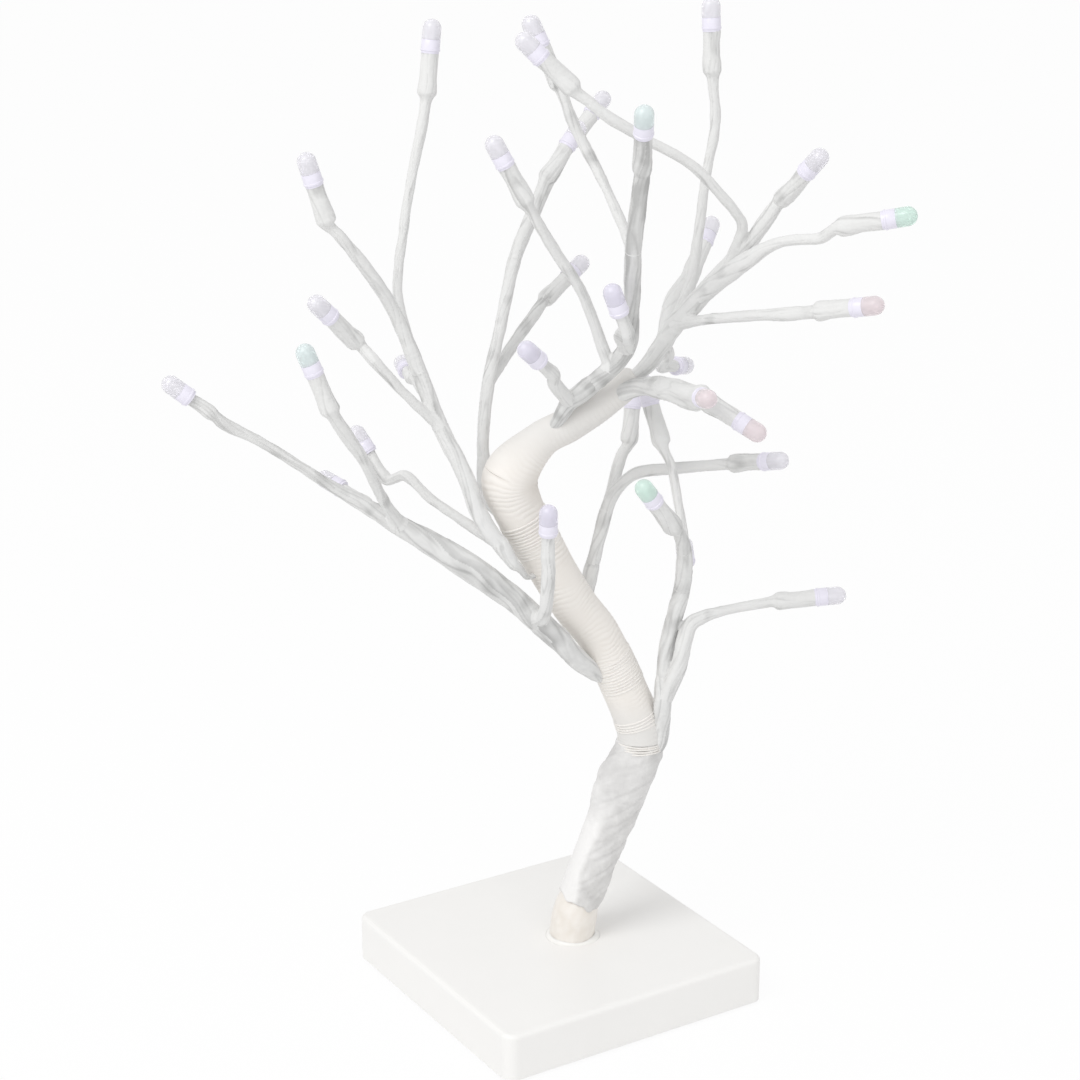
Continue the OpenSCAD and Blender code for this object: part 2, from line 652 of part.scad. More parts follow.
module trunk_core() {
  color("wheat") difference() {
    tree() difference() {
      sweep(core_path, trunk_sides);
      sweep(with_radius(concat([bore_start], bore_path, [bore_end]), core_bore_d / 2), bore_sides);
    }
    set_screw_places() translate([0, 0, socket_r - socket_wall - fit - set_screw_bite])
      cylinder(d = set_screw_d + skin, h = socket_r, $fn = 24);
  }
}

module trunk_wires() {
  color("peru") tree() sweep(with_radius(wires_path, core_bore_d / 2 - bundle_gap), bore_sides);
}

module set_screws() {
  color("silver") set_screw_places() {
    translate([0, 0, socket_r + skin]) cylinder(d = set_screw_head_d, h = set_screw_head_t, $fn = 24);
    translate([0, 0, socket_r - socket_wall - fit - set_screw_bite + skin])
      cylinder(d = set_screw_d, h = socket_wall + fit + set_screw_bite + set_screw_head_t, $fn = 24);
  }
}

module glue_fillet() {
  r = foot_d / 2 + skin;
  color("ivory") translate([foot_x, foot_y, base_h + skin]) rotate_extrude($fn = 48) difference() {
    translate([r, 0]) square([glue_reach, glue_reach * 0.6]);
    translate([r + glue_reach, glue_reach]) circle(glue_reach, $fn = 48);
  }
}

// A length of tape between two of the trunk's points, with its ends cut as the trunk bends there
module trunk_wrap(a, b) {
  from = a * trunk_steps * trunk_sides;
  to = (b * trunk_steps + 1) * trunk_sides - 1;
  outer = rings(trunk_path, trunk_sides);
  inner = rings(grown(trunk_path, -trunk_tape), trunk_sides);
  tube(slice(outer, from, to), slice(inner, from, to), trunk_sides);
}

module lower_wrap() {
  color("gainsboro") tree() trunk_wrap(0, waist);
}

module middle_wrap() {
  color("antiquewhite") tree() trunk_wrap(waist, crook);
}

module upper_wrap() {
  color("antiquewhite") tree() trunk_wrap(crook, len(trunk_points) - 1);
}

// Thread bindings: each is one thread that winds round the trunk between two places along it
loop_rings = 24;
thread_sides = 6;
thread_lift = 0.2;   // between a thread and the tape under it
function thread_point(s, a) =
  let (c = at(trunk_path, s), t = unit(place(at(trunk_path, s + 0.3)) - place(at(trunk_path, s - 0.3))))
  let (m = carry([0, 1, 0], t), reach = c[3] + thread_d / 2 + thread_lift)
  concat(place(c) + reach * (cos(a) * m + sin(a) * cross(t, m)), [thread_d / 2]);
function thread_path(from, to, turns) =
  [for (i = [0:loop_rings * turns])
    thread_point(from + (to - from) * i / (loop_rings * turns), 360 * i / loop_rings)];
function thread_gap(path) =
  min([for (i = [0:len(path) - 1], j = [i + loop_rings / 2:1:min(i + loop_rings * 1.5, len(path) - 1)])
    norm(place(path[i]) - place(path[j]))]) - thread_d;

// Places along the trunk are counted in steps of its path: from, to and number of turns
ankle_thread = thread_path(8.7, 9.3, 2);
waist_thread = thread_path(10.2, 10.7, 2);
elbow_thread = thread_path(12.1, 13.3, 4);
crook_thread = thread_path(18.4, 19.6, 4);
echo(str("Least gap of a thread to itself: ankle ", thread_gap(ankle_thread), ", waist ",
  thread_gap(waist_thread), ", elbow ", thread_gap(elbow_thread), ", crook ", thread_gap(crook_thread)));

module ankle_binding() {
  color("linen") tree() sweep(ankle_thread, thread_sides);
}

module waist_binding() {
  color("linen") tree() sweep(waist_thread, thread_sides);
}

module elbow_binding() {
  color("antiquewhite") tree() sweep(elbow_thread, thread_sides);
}

module crook_binding() {
  color("antiquewhite") tree() sweep(crook_thread, thread_sides);
}

// Ridges of taped wire that lead from the trunk to each branch, with a round seat for its root
module branch_roots() {
  color("gainsboro") tree() difference() {
    for (path = root_paths, i = [0:len(path) - 2])
      hull() for (p = [path[i], path[i + 1]]) translate(place(p)) sphere(p[3], $fn = 8);
    sweep(grown(trunk_path, skin), trunk_sides);
    for (b = branches)
      translate(place(b[0][0])) sphere(b[0][0][3] + knuckle_extra + root_gap, $fn = 14);
  }
}

// A branch's stems, each as the points from its fork to the neck where its lamp's sleeve starts
function stem_points(branch, i) =
  i == 0 ? branch[0] :
  let (twig = branch[i][1], fork = branch[0][branch[i][0]])
  concat([[fork[0], fork[1], fork[2], min(fork[3] - 0.5, twig[0][3])]], twig);
function lamp_foot(points) = points[len(points) - 2];
function lamp_axis(points) = unit(place(last(points)) - place(lamp_foot(points)));
function sleeve_length(points) =
  min(sleeve_l, 0.75 * norm(place(lamp_foot(points)) - place(points[len(points) - 3])));
function stem_path(points) =
  let (n = len(points), foot = points[n - 2])
  concat(
    slice(points, 0, n - 3),
    [concat(place(foot) - sleeve_length(points) * lamp_axis(points), [foot[3] - 0.4])]);
function wire_path(points, end) =
  [for (p = concat(stem_path(points), [place(lamp_foot(points)) + end * lamp_axis(points)])) place(p)];

module each_stem(branch) {
  for (i = [0:len(branch) - 1]) {
    $stem = stem_points(branch, i);
    children();
  }
}

module at_lamp() {
  aim(lamp_foot($stem), last($stem)) children();
}

// Lumpy paper sleeve that runs down the stem from the lamp's foot
module sleeve() {
  steps = len(sleeve_shape) - 1;
  step = sleeve_length($stem) / steps;
  at_lamp() for (k = [0:steps - 1])
    hull() for (j = [k, k + 1])
      translate([0, 0, -step * j - sleeve_disc])
        cylinder(d = sleeve_d * sleeve_shape[j], h = sleeve_disc, $fn = stem_sides);
}

module branch_wrap(branch) {
  root = branch[0][0];
  color("gainsboro") tree() difference() {
    union() {
      translate(place(root)) sphere(root[3] + knuckle_extra, $fn = 8);
      each_stem(branch) {
        sweep(stem_path($stem), stem_sides);
        sleeve();
      }
    }
    each_stem(branch) sweep(with_radius(wire_path($stem, cut), bore_r), wire_sides);
  }
}

// The wire pair of each stem; a twig's pair starts beside the main one
module branch_wires(branch) {
  color("peru") tree() for (i = [0:len(branch) - 1]) {
    path = wire_path(stem_points(branch, i), -skin);
    start = i == 0 ? path[0] : path[0] + wire_rest * unit(path[1] - path[0]);
    sweep(with_radius(concat([start], slice(path, 1, len(path) - 1)), wire_r), wire_sides);
  }
}

// Lamp: a moulded collar that carries the diode, and a translucent cap pushed over it
module led() {
  lip_z = 0.9;
  lip_t = 0.7;
  rotate_extrude($fn = 32) {
    square([lamp_r, collar_l]);
    translate([0, lip_z]) square([lip_r, lip_t]);
    square([spigot_r, collar_l + 1]);
    square([diode_r, lamp_l - lamp_r - 0.6]);
    translate([0, lamp_l - lamp_r - 0.6]) intersection() {
      circle(diode_r, $fn = 32);
      square(diode_r);
    }
  }
}

module lens_cap() {
  translate([0, 0, collar_l]) rotate_extrude($fn = 32) difference() {
    union() {
      square([lamp_r, lamp_l - lamp_r - collar_l]);
      translate([0, lamp_l - lamp_r - collar_l]) intersection() {
        circle(lamp_r, $fn = 48);
        square(lamp_r);
      }
    }
    translate([0, -cut]) square([lamp_r - cap_wall, lamp_l - lamp_r - collar_l + cut]);
    translate([0, lamp_l - lamp_r - collar_l]) circle(lamp_r - cap_wall, $fn = 48);
  }
}

module branch_leds(branch) {
  color("lavender") tree() each_stem(branch) at_lamp() led();
}

module branch_caps(branch) {
  color("lightsteelblue", 0.6) tree() each_stem(branch) at_lamp() lens_cap();
}

base_housing();
base_cover();
anti_slip_pad();
cover_screws();
battery_door();
battery_cells();
battery_springs();
contact_plates();
circuit_board();
board_components();
board_screws();
switch_body();
switch_knob();
supply_leads();
trunk_leads();
trunk_core();
trunk_wires();
set_screws();
glue_fillet();
lower_wrap();
middle_wrap();
upper_wrap();
ankle_binding();
waist_binding();
elbow_binding();
crook_binding();
branch_roots();
branch_wrap(low_left);  // low_left_wrap
branch_wires(low_left);  // low_left_wires
branch_leds(low_left);  // low_left_leds
branch_caps(low_left);  // low_left_caps
branch_wrap(mid_left);  // mid_left_wrap
branch_wires(mid_left);  // mid_left_wires
branch_leds(mid_left);  // mid_left_leds
branch_caps(mid_left);  // mid_left_caps
branch_wrap(upper_left);  // upper_left_wrap
branch_wires(upper_left);  // upper_left_wires
branch_leds(upper_left);  // upper_left_leds
branch_caps(upper_left);  // upper_left_caps
branch_wrap(crown_top);  // crown_top_wrap
branch_wires(crown_top);  // crown_top_wires
branch_leds(crown_top);  // crown_top_leds
branch_caps(crown_top);  // crown_top_caps
branch_wrap(crown_right);  // crown_right_wrap
branch_wires(crown_right);  // crown_right_wires
branch_leds(crown_right);  // crown_right_leds
branch_caps(crown_right);  // crown_right_caps
branch_wrap(crown_front);  // crown_front_wrap
branch_wires(crown_front);  // crown_front_wires
branch_leds(crown_front);  // crown_front_leds
branch_caps(crown_front);  // crown_front_caps
branch_wrap(rear);  // rear_wrap
branch_wires(rear);  // rear_wires
branch_leds(rear);  // rear_leds
branch_caps(rear);  // rear_caps
branch_wrap(low_right);  // low_right_wrap
branch_wires(low_right);  // low_right_wires
branch_leds(low_right);  // low_right_leds
branch_caps(low_right);  // low_right_caps
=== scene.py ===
import math

import bpy
import numpy as np
from mathutils import Matrix, Vector, noise
from mathutils.kdtree import KDTree


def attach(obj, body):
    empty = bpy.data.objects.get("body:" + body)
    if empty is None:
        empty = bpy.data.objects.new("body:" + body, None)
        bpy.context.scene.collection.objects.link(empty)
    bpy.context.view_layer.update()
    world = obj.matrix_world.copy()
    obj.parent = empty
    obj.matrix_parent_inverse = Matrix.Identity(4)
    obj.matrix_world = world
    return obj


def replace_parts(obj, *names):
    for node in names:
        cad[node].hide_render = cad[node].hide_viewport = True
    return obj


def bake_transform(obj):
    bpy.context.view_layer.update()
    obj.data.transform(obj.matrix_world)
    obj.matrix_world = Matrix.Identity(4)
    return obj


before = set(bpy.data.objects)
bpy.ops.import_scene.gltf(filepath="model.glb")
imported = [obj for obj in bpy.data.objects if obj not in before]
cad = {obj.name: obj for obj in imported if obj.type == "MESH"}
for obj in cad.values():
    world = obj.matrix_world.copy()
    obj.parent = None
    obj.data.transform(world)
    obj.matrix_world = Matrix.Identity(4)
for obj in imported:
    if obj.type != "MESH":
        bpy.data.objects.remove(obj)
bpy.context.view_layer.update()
mm = 0.001
noise.seed_set(1)          # the sleeves lean the same way each run
print("frame loaded,", len(cad), "nodes")

# the tree stands turned on its base; its points are right, away and up from the base's top, then a radius,
# all in mm
tree = {"turn": -32, "baseTop": 20}


def toBase(points):
    a = math.radians(tree["turn"])
    out = np.empty((len(points), 3))
    out[:, 0] = points[:, 0] * math.cos(a) - points[:, 1] * math.sin(a)
    out[:, 1] = points[:, 0] * math.sin(a) + points[:, 1] * math.cos(a)
    out[:, 2] = points[:, 2] + tree["baseTop"]
    return out * mm


def seat(p):
    return Vector(toBase(np.array([p], float))[0])


def deselect():
    if bpy.context.object and bpy.context.object.mode != "OBJECT":
        bpy.ops.object.mode_set(mode="OBJECT")
    bpy.ops.object.select_all(action="DESELECT")


def pick(*objs):
    deselect()
    for o in objs:
        o.select_set(True)
    bpy.context.view_layer.objects.active = objs[0]


def linear(code):
    parts = [int(code[i:i + 2], 16) / 255 for i in (1, 3, 5)]
    return [c / 12.92 if c <= 0.04045 else ((c + 0.055) / 1.055) ** 2.4 for c in parts] + [1.0]


def setInputs(node, values):
    for socket, value in values.items():
        node.inputs[socket].default_value = value


def addNode(nodes, kind, values=None, links=None, **settings):
    new = nodes.new(kind)
    for name, value in settings.items():
        setattr(new, name, value)
    setInputs(new, values or {})
    for socket, source in (links or {}).items():
        join(nodes, source, new, socket)
    return new


def join(nodes, source, node, socket):
    nodes.id_data.links.new(source, node.inputs[socket])


def newMaterial(name):
    mat = bpy.data.materials.new(name)
    mat.use_nodes = True
    return mat, mat.node_tree.nodes, mat.node_tree.nodes["Principled BSDF"]


# noise on the object's own coordinates, with its grain in mm
def grain(nodes, size, detail, more=None):
    place = addNode(nodes, "ShaderNodeTexCoord")
    values = {"Scale": 1 / (size * mm), "Detail": detail, **(more or {})}
    return addNode(nodes, "ShaderNodeTexNoise", values, {"Vector": place.outputs["Object"]}).outputs["Fac"]


# a mark that the mesh carries, plus a share of soft patches
def marked(nodes, mark, patches, share):
    own = addNode(nodes, "ShaderNodeAttribute", attribute_name=mark)
    thin = addNode(nodes, "ShaderNodeMath", {1: share}, {0: patches}, operation="MULTIPLY")
    both = addNode(nodes, "ShaderNodeMath", None, {0: thin.outputs["Value"], 1: own.outputs["Fac"]},
                   operation="ADD")
    return both.outputs["Value"]


def between(nodes, source, deep, pale, start=0.0):
    ramp = addNode(nodes, "ShaderNodeValToRGB", None, {"Fac": source})
    ramp.color_ramp.elements[0].position = start
    ramp.color_ramp.elements[0].color = deep
    ramp.color_ramp.elements[1].color = pale
    return ramp.outputs["Color"]


def dimmed(colour, share):
    return [c * share for c in colour[:3]] + [1.0]


def bumped(nodes, bsdf, source, strength, depth):
    values = {"Strength": strength, "Distance": depth * mm}
    relief = addNode(nodes, "ShaderNodeBump", values, {"Height": source})
    join(nodes, relief.outputs["Normal"], bsdf, "Normal")


def unevenGloss(nodes, bsdf, source, least, most):
    gloss = addNode(nodes, "ShaderNodeMapRange", {"To Min": least, "To Max": most}, {"Value": source})
    join(nodes, gloss.outputs["Result"], bsdf, "Roughness")


# crepe paper tape: fine stretched pleats, soft fibres, and painted shade that makes it darker down in the
# folds
def crepeTape(name, pale, deep, pleat=0.9, bump=0.35):
    mat, nodes, bsdf = newMaterial(name)
    # painted shade: the fold mark, plus a share of random patches, runs the colour from deep to pale
    shadeAndWear = marked(nodes, "fold", grain(nodes, 11, 4.0, {"Roughness": 0.6}), 0.4)
    join(nodes, between(nodes, shadeAndWear, linear(deep), linear(pale), 0.4), bsdf, "Base Color")
    bumped(nodes, bsdf, grain(nodes, pleat, 6.0, {"Roughness": 0.65, "Distortion": 0.6}), bump, 0.4)
    setInputs(bsdf, {"Roughness": 0.82, "IOR": 1.5, "Sheen Weight": 0.12, "Sheen Roughness": 0.5})
    return mat


# wound thread: close cotton turns round the trunk, warm cream, with a painted highlight on the crowns and
# painted shade in the grooves
def woundThread(name, pale, deep, fibre=0.35, dust=None):
    mat, nodes, bsdf = newMaterial(name)
    # painted highlight and shade: the crown mark makes the crowns paler and the grooves darker
    shadeAndWear = marked(nodes, "crown", grain(nodes, 14, 3.0), 0.5)
    tone = between(nodes, shadeAndWear, linear(deep), linear(pale), 0.15)
    if dust:
        grey = addNode(nodes, "ShaderNodeAttribute", attribute_name="grey")
        dusty = addNode(nodes, "ShaderNodeMix", {"B": linear(dust)},
                        {"Factor": grey.outputs["Fac"], "A": tone}, data_type="RGBA")
        tone = dusty.outputs["Result"]
    join(nodes, tone, bsdf, "Base Color")
    bumped(nodes, bsdf, grain(nodes, fibre, 5.0), 0.25, 0.25)
    setInputs(bsdf, {"Roughness": 0.85, "Sheen Weight": 0.2, "Sheen Roughness": 0.4})
    return mat


# moulded or lacquered plastic: an even skin with faint orange peel and a few dull patches
def mouldedPlastic(name, colour, rough=0.4, peel=1.6, bump=0.05, shift=0.05):
    mat, nodes, bsdf = newMaterial(name)
    bumped(nodes, bsdf, grain(nodes, peel, 2.0), bump, 0.2)
    dull = grain(nodes, 30, 3.0)
    unevenGloss(nodes, bsdf, dull, rough - shift, rough + shift)
    base = linear(colour)
    join(nodes, between(nodes, dull, dimmed(base, 0.965), base), bsdf, "Base Color")
    setInputs(bsdf, {"IOR": 1.49})
    return mat


# plated steel or enamelled wire: bright, with fine rub marks in its gloss
def platedSteel(name, colour, rough=0.3):
    mat, nodes, bsdf = newMaterial(name)
    unevenGloss(nodes, bsdf, grain(nodes, 0.8, 4.0), rough - 0.1, rough + 0.12)
    setInputs(bsdf, {"Base Color": linear(colour), "Metallic": 1.0})
    return mat


# milky cap: thin tinted resin, half clear, so that the lamp's core shows through
def milkyCap(name, colour, glow):
    mat, nodes, bsdf = newMaterial(name)
    base = linear(colour)
    join(nodes, between(nodes, grain(nodes, 3, 2.0), dimmed(base, 0.9), base), bsdf, "Base Color")
    setInputs(bsdf, {"Roughness": 0.22, "IOR": 1.49, "Transmission Weight": 0.45,
                     "Emission Color": linear(glow), "Emission Strength": 0.08})
    return mat


finishes = {
    "stems": crepeTape("crepePaperOffWhite", "#e2e2e1", "#b2b2b1"),
    "lower": crepeTape("crepePaperGreyWhite", "#f0efee", "#cccbca", pleat=1.4, bump=0.4),
    "winding": woundThread("cottonWindingCream", "#efebe6", "#d9d2c9", dust="#dedddb"),
    "thread": woundThread("cottonThreadPale", "#eeebe7", "#dcd8d2", fibre=0.25),
    "core": crepeTape("pressedPaperCream", "#f3efea", "#e9e3db", pleat=2.2, bump=0.25),
    "glue": mouldedPlastic("clearedHotGlue", "#f5f4f1", rough=0.35, peel=3.0, bump=0.15),
    "base": mouldedPlastic("satinWhiteAbs", "#f5f4f2", rough=0.42),
    "cover": mouldedPlastic("textureWhiteAbs", "#e6e5e2", rough=0.5, peel=0.8, bump=0.15),
    "foam": mouldedPlastic("evaFoamGrey", "#3a3a3c", rough=0.85, peel=0.6, bump=0.6),
    "steel": platedSteel("zincPlatedSteel", "#b9bbbf"),
    "nickel": platedSteel("nickelPlatedSteel", "#cfcbc2", rough=0.22),
    "copper": platedSteel("enamelledCopper", "#b4663c", rough=0.28),
    "jacket": mouldedPlastic("shrinkJacketGreen", "#5c756b", rough=0.3),
    "board": mouldedPlastic("solderMaskGreen", "#1f6239", rough=0.35),
    "black": mouldedPlastic("nylonBlack", "#17171a", rough=0.45),
    "lead": mouldedPlastic("pvcLeadRed", "#b3231f", rough=0.4),
    "collar": mouldedPlastic("lilacCollarResin", "#e9e6f2", rough=0.3),
}
tints = {
    "lilac": milkyCap("milkyResinLilac", "#f8f7fa", "#e6e4ee"),
    "violet": milkyCap("milkyResinViolet", "#f5f3fa", "#d9d4ee"),
    "aqua": milkyCap("milkyResinAqua", "#f2f8f8", "#cfe2e2"),
    "green": milkyCap("milkyResinGreen", "#edf9f4", "#bce8d8"),
    "pink": milkyCap("milkyResinPink", "#f6eff1", "#e6d4da"),
}
diodes = {
    "lilac": mouldedPlastic("phosphorResinLilac", "#e6e4ec", rough=0.25),
    "violet": mouldedPlastic("phosphorResinViolet", "#dbd7ec", rough=0.25),
    "aqua": mouldedPlastic("phosphorResinAqua", "#d6e3e4", rough=0.25),
    "green": mouldedPlastic("phosphorResinGreen", "#c8eadd", rough=0.25),
    "pink": mouldedPlastic("phosphorResinPink", "#e2d2d7", rough=0.25),
}
print("materials made,", len(finishes) + len(tints) + len(diodes))


# lines through the tree's points, as arrays of u, v, z and radius in mm; even is for points at like distances
def throughPoints(points, step, even=False):
    p = np.array(points, float)
    out = []
    for i in range(len(p) - 1):
        a, b, c, d = p[max(i - 1, 0)], p[i], p[i + 1], p[min(i + 2, len(p) - 1)]
        count = max(2, int(np.linalg.norm((c - b)[:3]) / step * 4))
        t = (np.arange(count) / count)[:, None]
        if even:
            out.append(0.5 * (2 * b + (c - a) * t + (2 * a - 5 * b + 4 * c - d) * t ** 2
                              + (3 * b - a - 3 * c + d) * t ** 3))
            continue
        gap = [max(1e-3, np.linalg.norm((v - u)[:3]) ** 0.5) for u, v in ((a, b), (b, c), (c, d))]
        into = ((c - b) / gap[1] if i == 0
                else (b - a) / gap[0] - (c - a) / (gap[0] + gap[1]) + (c - b) / gap[1])
        away = ((c - b) / gap[1] if i == len(p) - 2
                else (c - b) / gap[1] - (d - b) / (gap[1] + gap[2]) + (d - c) / gap[2])
        into, away = into * gap[1], away * gap[1]
        out.append((2 * t ** 3 - 3 * t ** 2 + 1) * b + (t ** 3 - 2 * t ** 2 + t) * into
                   + (-2 * t ** 3 + 3 * t ** 2) * c + (t ** 3 - t ** 2) * away)
    line = np.concatenate(out + [p[-1:]])
    run = np.concatenate([[0], np.cumsum(np.linalg.norm(np.diff(line[:, :3], axis=0), axis=1))])
    wanted = np.linspace(0, run[-1], max(3, int(run[-1] / step) + 1))
    return np.stack([np.interp(wanted, run, line[:, k]) for k in range(4)], 1), wanted


def carried(line):
    heading = np.gradient(line[:, :3], axis=0)
    heading /= np.linalg.norm(heading, axis=1)[:, None]
    normal = np.array([0.0, 1.0, 0.0]) if abs(heading[0][1]) < 0.8 else np.array([1.0, 0.0, 0.0])
    normals = []
    for t in heading:
        normal = normal - (normal @ t) * t
        normal = normal / np.linalg.norm(normal)
        normals.append(normal)
    normals = np.array(normals)
    return heading, normals, np.cross(heading, normals)


def newPiece(name, verts, faces, material):
    mesh = bpy.data.meshes.new(name)
    mesh.from_pydata([tuple(v) for v in verts], [], faces)
    mesh.update()
    piece = bpy.data.objects.new(name, mesh)
    bpy.context.scene.collection.objects.link(piece)
    mesh.materials.append(material)
    for f in mesh.polygons:
        f.use_smooth = True
    return piece


def keepNumbers(piece, name, values):
    mark = piece.data.attributes.new(name, "FLOAT", "POINT")
    mark.data.foreach_set("value", np.asarray(values, np.float32))


def bumps(points, size, seed=0.0):
    off = Vector((seed * 7.3, seed * 3.1, seed * 5.7))
    return np.array([noise.noise(Vector(p) / size + off) for p in points])


def creases(points, size, octaves=3, seed=0.0):
    off = Vector((seed * 2.9, seed * 8.3, seed * 4.1))
    return np.array([noise.fractal(Vector(p) / size + off, 0.9, 2.0, octaves) for p in points])


# rings round a line; relief gives the height over the radius in mm, tone what the material reads under mark
def shell(name, line, run, sides, relief, inner, material, mark, tone, innerRings=24, tear=None):
    heading, normal, across = carried(line)
    turn = np.arange(sides) / sides
    c, s = np.cos(2 * math.pi * turn), np.sin(2 * math.pi * turn)
    count = len(line)
    spokes = normal[:, None] * c[None, :, None] + across[:, None] * s[None, :, None]
    runs = np.repeat(run[:, None], sides, 1)
    turns = np.repeat(turn[None], count, 0)
    mid = np.repeat(line[:, None, :3], sides, 1)
    if tear:
        mid = mid + heading[:, None] * tear(runs, turns)[:, :, None]
    rough = (mid + spokes * line[:, None, 3:4]).reshape(-1, 3)
    ways = spokes.reshape(-1, 3)
    height = relief(runs.ravel(), turns.ravel(), rough, ways)
    outer = mid + spokes * (line[:, None, 3:4] + height.reshape(count, sides, 1))
    back = np.linspace(count - 1, 0, innerRings).round().astype(int)
    inside = mid[back] + spokes[back] * (line[back][:, None, 3:4] - inner)
    grid = np.concatenate([outer, inside])
    total = len(grid)
    faces = [(i * sides + k, i * sides + (k + 1) % sides, (i + 1) % total * sides + (k + 1) % sides,
              (i + 1) % total * sides + k) for i in range(total) for k in range(sides)]
    piece = newPiece(name, toBase(grid.reshape(-1, 3)), faces, material)
    keepNumbers(piece, mark, np.concatenate([tone(runs.ravel(), turns.ravel(), rough, ways, height),
                                             np.ones(len(back) * sides)]))
    return piece


trunk = {
    "points": [(9.5, 0, 18, 8.9), (13.5, 0, 30, 8.8), (19.5, 2, 46, 9.2), (23.5, 3, 57, 10),
               (27, 4, 68, 10.4), (33, 6, 84, 9.4), (26, 5, 106, 8.8), (16, 3, 128, 8.6), (5, 1, 144, 8.8),
               (-5, 0, 162, 9.2), (-16, -3, 184, 9.8), (-18, -4, 196.5, 10.4), (-7, -3, 209.5, 7),
               (4.5, -1, 215.5, 6.6), (15.5, 1, 222.5, 6.3), (27, 3, 231, 5.6)],
    "waist": 5, "crook": 11,          # where one wrapping meets the next
    "tape": 0.8,                      # thickness of the wrapping
    "foot": [(6, 0, -15, 9.2), (6, 0, 2, 9.2), (7.5, 0, 12, 9)],
}


def nearest(line, point):
    return np.argmin(np.linalg.norm(line[:, :3] - np.array(point[:3]), axis=1))


def stretch(first, last, step):
    line, run = throughPoints(trunk["points"], step, even=True)
    start, end = (nearest(line, trunk["points"][k]) for k in (first, last))
    return line[start:end + 1], run[start:end + 1]


# folds that run round a stem as long screw lines: which = the screw line's number, run = mm along the stem
def screwFolds(which, run, seed, long, wide):
    around = 2 * math.pi * which
    spots = np.stack([np.cos(around) * wide, np.sin(around) * wide, run / long], 1)
    off = Vector((seed * 1.7, seed * 2.3, seed * 3.9))
    return np.abs(np.array([noise.noise(Vector(p) + off) for p in spots]))


lowerTape = {
    "sides": 128, "step": 0.5,
    "pitch": 60, "fold": 0.4, "foldLong": 24.0, "foldWide": 1.5,          # folds that climb round the trunk
    "crumple": 0.5, "crumpleSize": 8.0, "crinkle": 0.2, "crinkleSize": 2.4, "deepest": -0.6,
    "knob": 0.7, "knobAt": 60, "knobBelow": 3.0, "knobAbove": 9.0,        # a bulge at the left
    "strip": -0.4, "stripSoft": 0.3, "stripFade": 14, "stripRise": 0.2,   # the smooth inner layer
    "tear": 3.0, "tearReach": 14,                                         # the ragged lower edge
    "tearWaves": [(2, 0.6, 0.5), (5, 2.0, 0.35), (11, 0.0, 0.15)],        # times round, phase, share
}


# where the smooth inner layer shows: at the left, below the knob
def lowerStrip(p, way):
    wander = 0.25 * bumps(p, 10.0, 1)
    side = np.clip((lowerTape["strip"] + wander - way[:, 0]) / lowerTape["stripSoft"] + 0.4, 0, 1)
    return side * np.clip((lowerTape["knobAt"] - p[:, 2]) / lowerTape["stripFade"], 0, 1)


def lowerFolds(run, turn):
    climb = turn - run / lowerTape["pitch"]
    return np.clip(screwFolds(climb, run, 2, lowerTape["foldLong"], lowerTape["foldWide"]) * 3, 0, 1)


def lowerRelief(run, turn, p, way):
    strip = lowerStrip(p, way)
    above = p[:, 2] - lowerTape["knobAt"]
    reach = np.where(above < 0, lowerTape["knobBelow"], lowerTape["knobAbove"])
    knob = np.exp(-(above / reach) ** 2) * np.clip(-way[:, 0], 0, 1) ** 2
    rough = (lowerTape["fold"] * (lowerFolds(run, turn) - 0.7)
             + lowerTape["crumple"] * creases(p, lowerTape["crumpleSize"], 3, 3)
             + lowerTape["crinkle"] * creases(p, lowerTape["crinkleSize"], 3, 4))
    rough = np.maximum(rough, lowerTape["deepest"])          # never down to the core
    return rough * (1 - 0.85 * strip) + lowerTape["stripRise"] * strip + lowerTape["knob"] * knob


# painted shade: the wrap is coloured darker where its relief is low; the smooth inner strip is coloured pale
# throughout
def lowerTone(run, turn, p, way, height):
    strip = lowerStrip(p, way)
    return np.clip(0.4 + 0.3 * height, 0.05, 1) * (1 - strip) + strip


def lowerTear(run, turn):
    ragged = sum(np.sin(2 * math.pi * turn * times + phase) * share
                 for times, phase, share in lowerTape["tearWaves"])
    return -lowerTape["tear"] * (0.35 + 0.65 * ragged) * np.clip(1 - run / lowerTape["tearReach"], 0, 1) ** 2


line, run = stretch(0, trunk["waist"], lowerTape["step"])
lowerWrap = shell("lower_wrap_crepe", line, run, lowerTape["sides"], lowerRelief, trunk["tape"],
                  finishes["lower"], "fold", lowerTone, tear=lowerTear)
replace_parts(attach(lowerWrap, "base"), "lower_wrap")

winding = {
    "sides": 96, "step": 0.25, "pitch": 1.9, "crown": 0.2, "lump": 0.35, "lumpSize": 13.0,
    "wornFrom": 200, "wornOver": 12, "shadeAndWear": 0.55,          # fainter past the crook
    "underAt": 195, "underOver": 12,                        # beige where it turns in under the crook
    "greyBelow": 104, "greyAbove": 200, "greyOver": 14,     # dusty towards both ends
    "endRings": 10, "endBow": 3.5, "endRadius": 0.9,        # drawn together over the trunk's end
    "crisp": 60,                                            # degrees; no shade over the upper wrap's rim
}


def windingShow(p):
    shadeAndWear = np.clip((p[:, 2] - winding["wornFrom"]) / winding["wornOver"], 0, 1)
    return np.clip(0.4 + 1.8 * bumps(p, 11.0, 6), 0.08, 1.1) * (1 - winding["shadeAndWear"] * shadeAndWear)


def windingRidge(run, p, way):
    sway = 0.9 * bumps(p, 9.0, 4) + 0.2 * bumps(p, 2.5, 5) + np.arctan2(way[:, 1], way[:, 0]) / (2 * math.pi)
    return np.abs(np.sin(math.pi * (run / winding["pitch"] + sway)))


def windingRelief(run, turn, p, way):
    crown = winding["crown"] * (windingRidge(run, p, way) - 0.5) * windingShow(p)
    return crown + winding["lump"] * bumps(p, winding["lumpSize"], 7)
